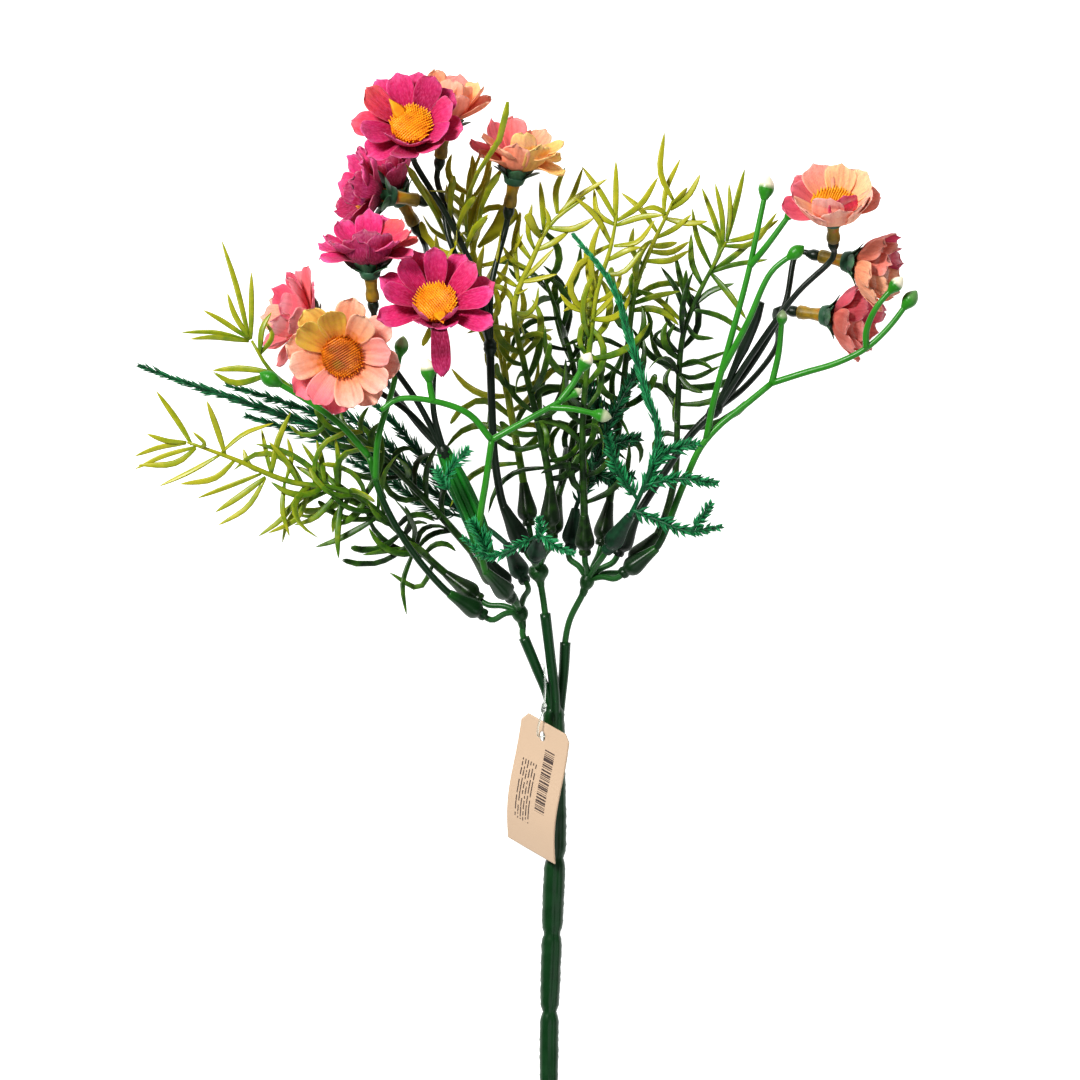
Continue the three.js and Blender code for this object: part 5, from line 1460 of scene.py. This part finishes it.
def needle_sprigs():
    """Each needle sprig's socket and stem, its leaves that the photograph shows, and the rest."""
    for name, sprig in SPRIGS.items():
        heap = Heap()
        socket(heap, name, tone=0.02)
        line = core_line(name, sprig["through"])
        path = Path(line, samples=64)
        shares = STEM_ROD.points[:, 2]
        tones = np.array([tone_at(sprig, s) for s in shares])
        radii = [1.25, 1.15, 1.0, 0.95, 0.9, 0.75, 0.45]
        heap.lay(STEM_ROD, path, radii, radii, tone=tones, along=shares)
        draw = Draws(sprig["seed"] + 300)
        for x0, y0, x1, y1, x2, y2 in sprig["long"]:
            place = from_photo(x0, y0)
            share = nearest_share(path, place)
            trunk = path.point(share)
            # The leaf starts on its stem and leaves it within a few millimetres of the shown root.
            lift = draw.between(-3.5, 4.5) + sprig.get("rise", 0)
            knee = from_photo(x1, y1, trunk.z + lift * 0.6)
            tip = from_photo(x2, y2, trunk.z + lift + draw.between(-1.5, 1.5))
            root = Vector((place.x, place.y, trunk.z)).lerp(trunk, 0.75)
            tone = tone_at(sprig, share)
            broad = draw.between(0.8, 1.05) * sprig.get("wide", 1)
            hint = Vector((draw.between(-0.5, 0.5), draw.between(-0.5, 0.5), 1))
            tone += draw.between(-0.08, 0.1)
            curved_leaf(
                heap, SLIM_LEAF, [root, knee, tip], [broad] * 2, [0.55, 0.55],
                (tone - 0.12, tone + 0.2), hint,
            )
        for points in sprig.get("over", []):
            leaf = Path([from_photo(*point) for point in points], samples=16)
            share = BLUNT_LEAF.points[:, 2]
            breadth = [0.8, 0.75, 0.7, 0.9, 1.3]
            heap.lay(BLUNT_LEAF, leaf, breadth, [0.9, 0.8], along=share, tone=0.7 + 0.06 * share)
        for x0, y0, x1, y1, x2, y2, broad in sprig.get("blunt", []):
            share = nearest_share(path, from_photo(x0, y0))
            height = path.point(share).z
            tone = tone_at(sprig, share)
            spots = ((x0, y0, height), (x1, y1, height + 5), (x2, y2, height + 7))
            line = [from_photo(*spot) for spot in spots]
            curved_leaf(heap, BLUNT_LEAF, line, [1.0, broad / 1.1], [0.6, 0.5], (tone, tone + 0.15))
        grow_needles(heap, sprig, path, draw)
        heap.piece(f"{name}_sprig", NEEDLE, "needle_plastic", name)


def grow_needles(heap, sprig, path, draw):
    """Leaves by the rule that the sprigs were moulded to: in turn round the stem, hooking forward."""
    count = sprig["count"]
    turn = draw.between(0, FULL_TURN)
    for k in range(count):
        share = sprig["start"] + (sprig["finish"] - sprig["start"]) * (k + draw()) / count
        root, ahead, side, top = path.square_at(share)
        for attempt in range(5):
            turn += 2.4 + draw.between(-0.5, 0.5)
            out = side * math.cos(turn) + top * (math.sin(turn) * 0.6)
            lean = math.radians(draw.between(35, 95))
            way = (ahead * math.cos(lean) + out * math.sin(lean)).normalized()
            size = sprig["length"] * draw.between(0.6, 1.5) * (1 - 0.12 * attempt)
            # Most leaves hook forward, and some hook back or sideways.
            axis = way.cross(ahead if draw() < 0.7 else -ahead)
            axis = (axis.normalized() + ahead * draw.between(-0.4, 0.4)).normalized()
            hook = Quaternion(axis, math.radians(draw.between(15, 50)))
            line = [root]
            for stretch in (0.36, 0.34, 0.3):
                line.append(line[-1] + way * size * stretch)
                way = hook @ way
            tone = tone_at(sprig, share) + draw.between(-0.1, 0.12)
            broad = draw.between(0.8, 1.2)
            tones = (tone - 0.08, tone + draw.between(0.0, 0.3))
            model = BLUNT_LEAF if draw() < 0.25 else SLIM_LEAF
            if curved_leaf(heap, model, line, [broad] * 2, [0.5, 0.5], tones):
                break


needle_sprigs()


# ---- fern fronds ---------------------------------------------------------------------------------

# Each frond has its seed, the tones that its colour runs between, and its stems. A stem has the share of
# its length from which it bears frondlets, how many, their length in mm, their lean in degrees and their
# half width in mm, its own radius in mm and its points. The first stem starts in the socket.
FERNS = {
    "fern_left": (31, (0.25, 0.66), [
        (0.1, 420, 6.4, 24, 0.27, 0.85, [(-24, 180, 10), (-38.4, 189.4, 11), (-60.8, 202.7, 14),
         (-85.9, 212, 17), (-111.3, 220.4, 19), (-125.6, 225.7, 20)]),
        (0.05, 200, 5.2, 26, 0.26, 0.45, [(-40, 190, 11.5), (-58, 205, 15), (-78, 213.5, 18),
         (-98, 219.5, 20)]),
        (0.05, 170, 5.4, 30, 0.26, 0.45, [(-34, 186, 11), (-50, 203, 16), (-64, 212, 20), (-78, 219, 21)]),
        (0.05, 170, 5.2, 28, 0.26, 0.45, [(-38, 188, 11), (-58, 198, 11), (-76, 205, 12), (-92, 210, 14)]),
        (0.1, 130, 4.8, 34, 0.26, 0.45, [(-22, 178, 10), (-34, 181, 9), (-46, 189, 9), (-60, 196, 10)]),
        (0.1, 130, 5.0, 32, 0.26, 0.45, [(-27, 182, 10), (-36, 196, 13), (-45, 207, 16), (-52, 214, 17)]),
    ]),
    "fern_right": (32, (0.42, 0.86), [
        (0.2, 800, 5.4, 15, 0.27, 0.8, [(33, 190, 50), (36.5, 203, 55), (33, 216, 58), (28.2, 231.9, 60),
         (22, 250.2, 60), (10.5, 265, 60)]),
        (0.05, 56, 4.0, 52, 0.5, 0.65, [(32.4, 188, 49), (43, 190, 53), (54.9, 188.8, 55)]),
        (0.05, 64, 3.9, 52, 0.5, 0.65, [(28.6, 180.5, 44), (37, 177, 47), (45.6, 173.9, 49),
         (56.1, 175.2, 50)]),
        (0.1, 26, 3.2, 52, 0.45, 0.5, [(47, 174, 49.2), (50, 178, 51), (53, 182.6, 52)]),
        (0.0, 44, 4.6, 50, 0.5, 0.6, [(32, 186, 48), (35, 193, 51), (38.5, 200, 53)]),
        (0.05, 52, 4.6, 50, 0.5, 0.6, [(30, 184, 46), (24, 193, 48), (21, 203, 50)]),
        (0.05, 44, 4.4, 50, 0.5, 0.55, [(34, 194, 52), (41, 199, 55), (49, 201, 56)]),
    ]),
    "fern_low": (33, (0.45, 0.95), [
        (0.5, 60, 3.2, 55, 0.36, 0.5, [(-1, 174, 50), (3.5, 170, 52), (10.5, 166.8, 53)]),
        (0.1, 84, 3.2, 55, 0.36, 0.45, [(-0.8, 172.6, 49), (-7, 169, 52), (-15.5, 166, 53),
         (-24, 172, 54)]),
        (0.1, 44, 3.4, 50, 0.36, 0.4, [(-0.5, 170.5, 48), (0.5, 174, 51), (-0.4, 178, 53)]),
        (0.05, 120, 5.0, 50, 0.3, 0.4, [(-16, 166.4, 53), (-18, 172, 55), (-21, 177, 57)]),
        (0.66, 40, 4.8, 55, 0.34, 0.35, [(-22, 174, 55), (-27, 184, 58), (-32, 193, 59)]),
        (0.0, 36, 4.4, 50, 0.34, 0.35, [(-29, 190, 58.5), (-26, 195, 60), (-22, 199, 61)]),
    ]),
    "fern_dark": (34, (0.12, 0.55), [
        (0.1, 110, 5.2, 50, 0.5, 0.75, [(15, 190, 23), (20, 203, 27), (25, 214, 29), (31, 226, 29)]),
        (0.05, 56, 4.4, 50, 0.5, 0.55, [(18, 198, 25), (24, 201, 27), (31, 203, 28)]),
        (0.05, 56, 4.6, 50, 0.5, 0.55, [(22, 207, 28), (17, 214, 29), (13, 222, 29)]),
        (0.05, 50, 4.4, 50, 0.5, 0.55, [(16, 193, 24), (22, 190, 27), (29, 191, 29)]),
    ]),
}

LAST_FRONDLET = 0.985  # the share of a stem's length past which it bears none


def ferns():
    """Each fern frond's socket, and its stems with their frondlets, which lean to both sides in turn."""
    for name, (seed, (low, high), stems) in FERNS.items():
        heap = Heap()
        draw = Draws(seed)
        socket(heap, name, tone=0.1)
        for index, (start, count, length, leaning, broad, radius, points) in enumerate(stems):
            path = Path(points if index else core_line(name, points), samples=64)
            radii = [radius, radius * 0.85, radius * 0.6, 0.2]
            heap.lay(STEM_ROD, path, radii, radii, tone=low, along=STEM_ROD.points[:, 2])
            for k in range(count):
                share = min(start + (1 - start) * (k + draw()) / count, LAST_FRONDLET)
                root, ahead, side, top = path.square_at(share)
                turn = (k % 2) * math.pi + draw.between(-1.3, 1.3)
                out = side * math.cos(turn) + top * math.sin(turn) * 0.8
                lean = math.radians(leaning + draw.between(-10, 10))
                size = length * draw.between(0.7, 1.15) * (1 - 0.55 * max(0, share - 0.6) / 0.4)
                first = (ahead * math.cos(lean) + out * math.sin(lean)).normalized()
                knee = root + first * size * 0.5
                tip = knee + (first + ahead * 0.3).normalized() * size * 0.5
                if min(tip.z, knee.z) < LOWEST_LEAF or inside_head(tip, 0.3):
                    continue
                leaf = Path([root, knee, tip], samples=5, per_stretch=3)
                along = FRONDLET.points[:, 2]
                tone = low + (high - low) * (0.35 + 0.65 * along) + draw.between(-0.08, 0.08)
                heap.lay(FRONDLET, leaf, [broad] * 2, [0.26, 0.22], tone=np.clip(tone, 0, 1), along=along)
        heap.piece(f"{name}_frond", FERN, "fern_plastic", name)


ferns()


# ---- bud sprigs ----------------------------------------------------------------------------------

# through: the middle stem's points. dark: how far up it the dark green of the root reaches. stems: lines of
# points, each from the middle stem or an earlier one, with the radius of the bud on its end in mm, or 0
# where there is none, and how creamy the bud is.
BUD_SPRIGS = {
    "buds_front": dict(
        dark=0.75,
        through=[(-18.6, 176, 56), (-16.6, 190, 61), (-14.9, 202, 63)],
        stems=[
            ([(-14.9, 202, 63), (-22, 210, 65), (-33, 214, 66), (-44, 214.5, 66), (-49, 211, 66)], 0, 0),
            ([(-33, 214, 66), (-34, 219, 66.5), (-34.5, 223.5, 67)], 2.4, 1),
            ([(-14.9, 202, 63), (-6, 207, 64), (3, 212, 64), (11, 216.5, 63)], 1.5, 0.6),
            ([(6, 213.8, 63.8), (10, 219, 64), (14, 226, 65)], 2.2, 1),
            ([(3, 212, 64), (10, 211.5, 66), (19, 209.5, 67)], 2.1, 0.5),
        ],
    ),
    "buds_right": dict(
        dark=1.2,
        through=[(44, 187, 40), (49.9, 200, 43), (56, 207, 44), (63, 212.5, 44), (71.9, 219.8, 43)],
        stems=[
            ([(51.5, 202.2, 43.2), (54, 215, 48), (58.6, 231.9, 52), (64, 252, 54), (67.5, 268, 55),
              (70, 280, 55)], 2.5, 0.85),
            ([(65, 256, 54.2), (70, 262, 57), (77, 271.5, 59)], 1.4, 0),
            ([(56, 223, 50), (64, 238, 56), (71.5, 254, 59), (79, 260, 60)], 2.1, 0),
            ([(71.9, 219.8, 43), (74, 229, 44), (75, 240, 47)], 1.7, 0.3),
            ([(71.9, 219.8, 43), (82, 223, 45), (92, 226, 48), (101, 230.5, 50), (108, 237, 51),
              (114.5, 245.5, 52)], 2.3, 0.1),
            ([(101, 230.5, 50), (101, 236, 53), (104, 243, 56), (110, 250, 57)], 2.1, 0.9),
        ],
    ),
    "buds_left": dict(
        dark=2.8,
        through=[(-40, 168, 38), (-49, 184, 42), (-53, 197, 45)],
        stems=[
            ([(-53, 197, 45), (-62, 207, 48), (-74, 215.5, 50), (-83.5, 221, 52)], 2.5, 0),
            ([(-51, 190, 43.6), (-50, 203, 52), (-45.6, 218, 53.5), (-42.8, 231, 57)], 2.2, 0.25),
        ],
    ),
}
# A bud's radii from where it leaves its stem: a tapering neck, a full cup and a domed end.
BUD_RADII = [0.42, 0.6, 0.82, 0.97, 1.0, 0.96, 0.8, 0.52, 0.1]


def bud_sprigs():
    """Each bud sprig's socket, middle stem and side stems, with the buds on their ends."""
    for name, sprig in BUD_SPRIGS.items():
        heap = Heap()
        socket(heap, name, tone=np.clip(1.7 - THICK_ROD.points[:, 2], 0, 1))
        dark = np.clip(sprig["dark"] - STEM_ROD.points[:, 2] * 2.5, 0, 1)
        line = core_line(name, sprig["through"])
        limb(heap, line, [1.1, 1.05, 1.0], STEM_ROD, samples=48, tone=dark)
        for line, size, cream in sprig["stems"]:
            path = limb(heap, line, [1.05, 1.0, 0.9, 0.85], STEM_ROD, samples=40)
            if not size:
                continue
            end, way = path.point(1), path.way(1)
            start = end - way * size * 1.5
            finish = end + way * size * 1.5
            bud = Path([start, start.lerp(finish, 0.5), finish], samples=24)
            radii = [share * size for share in BUD_RADII]
            share = THICK_ROD.points[:, 2]
            # The outer half of a bud is cream.
            ripe = np.clip((share - 0.48) / 0.2, 0, 1) * cream
            heap.lay(THICK_ROD, bud, radii, radii, cream=ripe, along=share)
        heap.piece(f"{name}_sprig", BUD_SPRIG, "bud_sprig_plastic", name)


bud_sprigs()


# ---- hang tag and its loop -----------------------------------------------------------------------

TAG_CORNER = Vector((-5.3, 118, 17.4))  # a top corner, from which the other edges run
TAG_ACROSS = Vector((14.6, -8, 17))
TAG_ALONG = Vector((-4.6, -40, -13))
TAG_THICK = 0.45
TAG_BOW = 1.6
TAG_HOLE = (0.46, 0.11)  # as shares of its width and length
TAG_HOLE_RADIUS = 1.5
TAG_CLIPS = (3.0, 2.1)  # mm that the two top corners are clipped by


def tag():
    """A die-cut card, bowed along its length, with clipped top corners, a hole, rules and bars."""
    bpy.ops.mesh.primitive_grid_add(x_subdivisions=60, y_subdivisions=110, size=2)
    card = bpy.context.object
    width, length = TAG_ACROSS.length, TAG_ALONG.length
    for vertex in card.data.vertices:
        u, v = (vertex.co.x + 1) / 2, (1 - vertex.co.y) / 2
        vertex.co = (u * width, -v * length, 0)
    bpy.ops.object.mode_set(mode="EDIT")
    bpy.ops.mesh.select_mode(type="FACE")
    bpy.ops.mesh.select_all(action="DESELECT")
    bpy.ops.object.mode_set(mode="OBJECT")
    centre = Vector((TAG_HOLE[0] * width, -TAG_HOLE[1] * length, 0))
    for face in card.data.polygons:
        middle = face.center
        in_hole = (Vector(middle) - centre).length < TAG_HOLE_RADIUS
        near, far = middle.x - middle.y, width - middle.x - middle.y
        face.select = in_hole or near < TAG_CLIPS[0] or far < TAG_CLIPS[1]
    bpy.ops.object.mode_set(mode="EDIT")
    bpy.ops.mesh.delete(type="FACE")
    bpy.ops.object.mode_set(mode="OBJECT")
    # The hole's jagged edge is drawn to its circle.
    for vertex in card.data.vertices:
        to = vertex.co - centre
        if to.length < TAG_HOLE_RADIUS * 1.35:
            vertex.co = centre + to.normalized() * max(TAG_HOLE_RADIUS, to.length)
    wall = card.modifiers.new("card", "SOLIDIFY")
    wall.thickness = TAG_THICK
    wall.offset = 0
    bpy.ops.object.modifier_apply(modifier=wall.name)
    model = take_model(card)
    u, v = model.points[:, 0] / width, -model.points[:, 1] / length
    normal = np.array(TAG_ACROSS.cross(TAG_ALONG).normalized()) * -1
    # The card is bowed most below its middle.
    bend = TAG_BOW * (np.sin(math.pi * v) - 0.4 * np.sin(2 * math.pi * v))
    points = (
        np.array(TAG_CORNER)
        + u[:, None] * np.array(TAG_ACROSS)
        + v[:, None] * np.array(TAG_ALONG)
        + (bend + model.points[:, 2])[:, None] * normal
    )
    heap = Heap()
    heap.put(model, points, np.stack([u * width, v * length], axis=1), ink=(model.points[:, 2] > 0) * 1.0)
    heap.piece("card_hang_tag", CARD, "tag_paper", "hang_tag")


tag()

LOOP_LINE = [
    (1.2, 118.4, 27.5), (1.6, 126, 27.4), (1.2, 131.4, 25.6), (0.2, 132.4, 20.6), (-3.2, 129, 18),
    (-2.6, 122, 18.5), (-0.9, 117, 20.2), (1, 112.6, 21.9), (2.1, 110.2, 22.9), (0.9, 109.9, 23.8),
    (-0.5, 109.8, 25.2), (-0.6, 113, 27), (1.2, 118.2, 27.5),
]


def tag_loop():
    """The thin clear loop, and the knob that it locks in."""
    heap = Heap()
    limb(heap, LOOP_LINE, [0.3, 0.3], THICK_ROD, samples=80)
    knob = [(0.9, 117.2, 27.5), (1.1, 118.8, 27.55), (1.4, 120.4, 27.6)]
    limb(heap, knob, [0.4, 0.85, 0.95, 0.8, 0.95, 0.5])
    heap.piece("clear_tag_loop", NYLON, "tie_nylon", "tag_tie")


tag_loop()
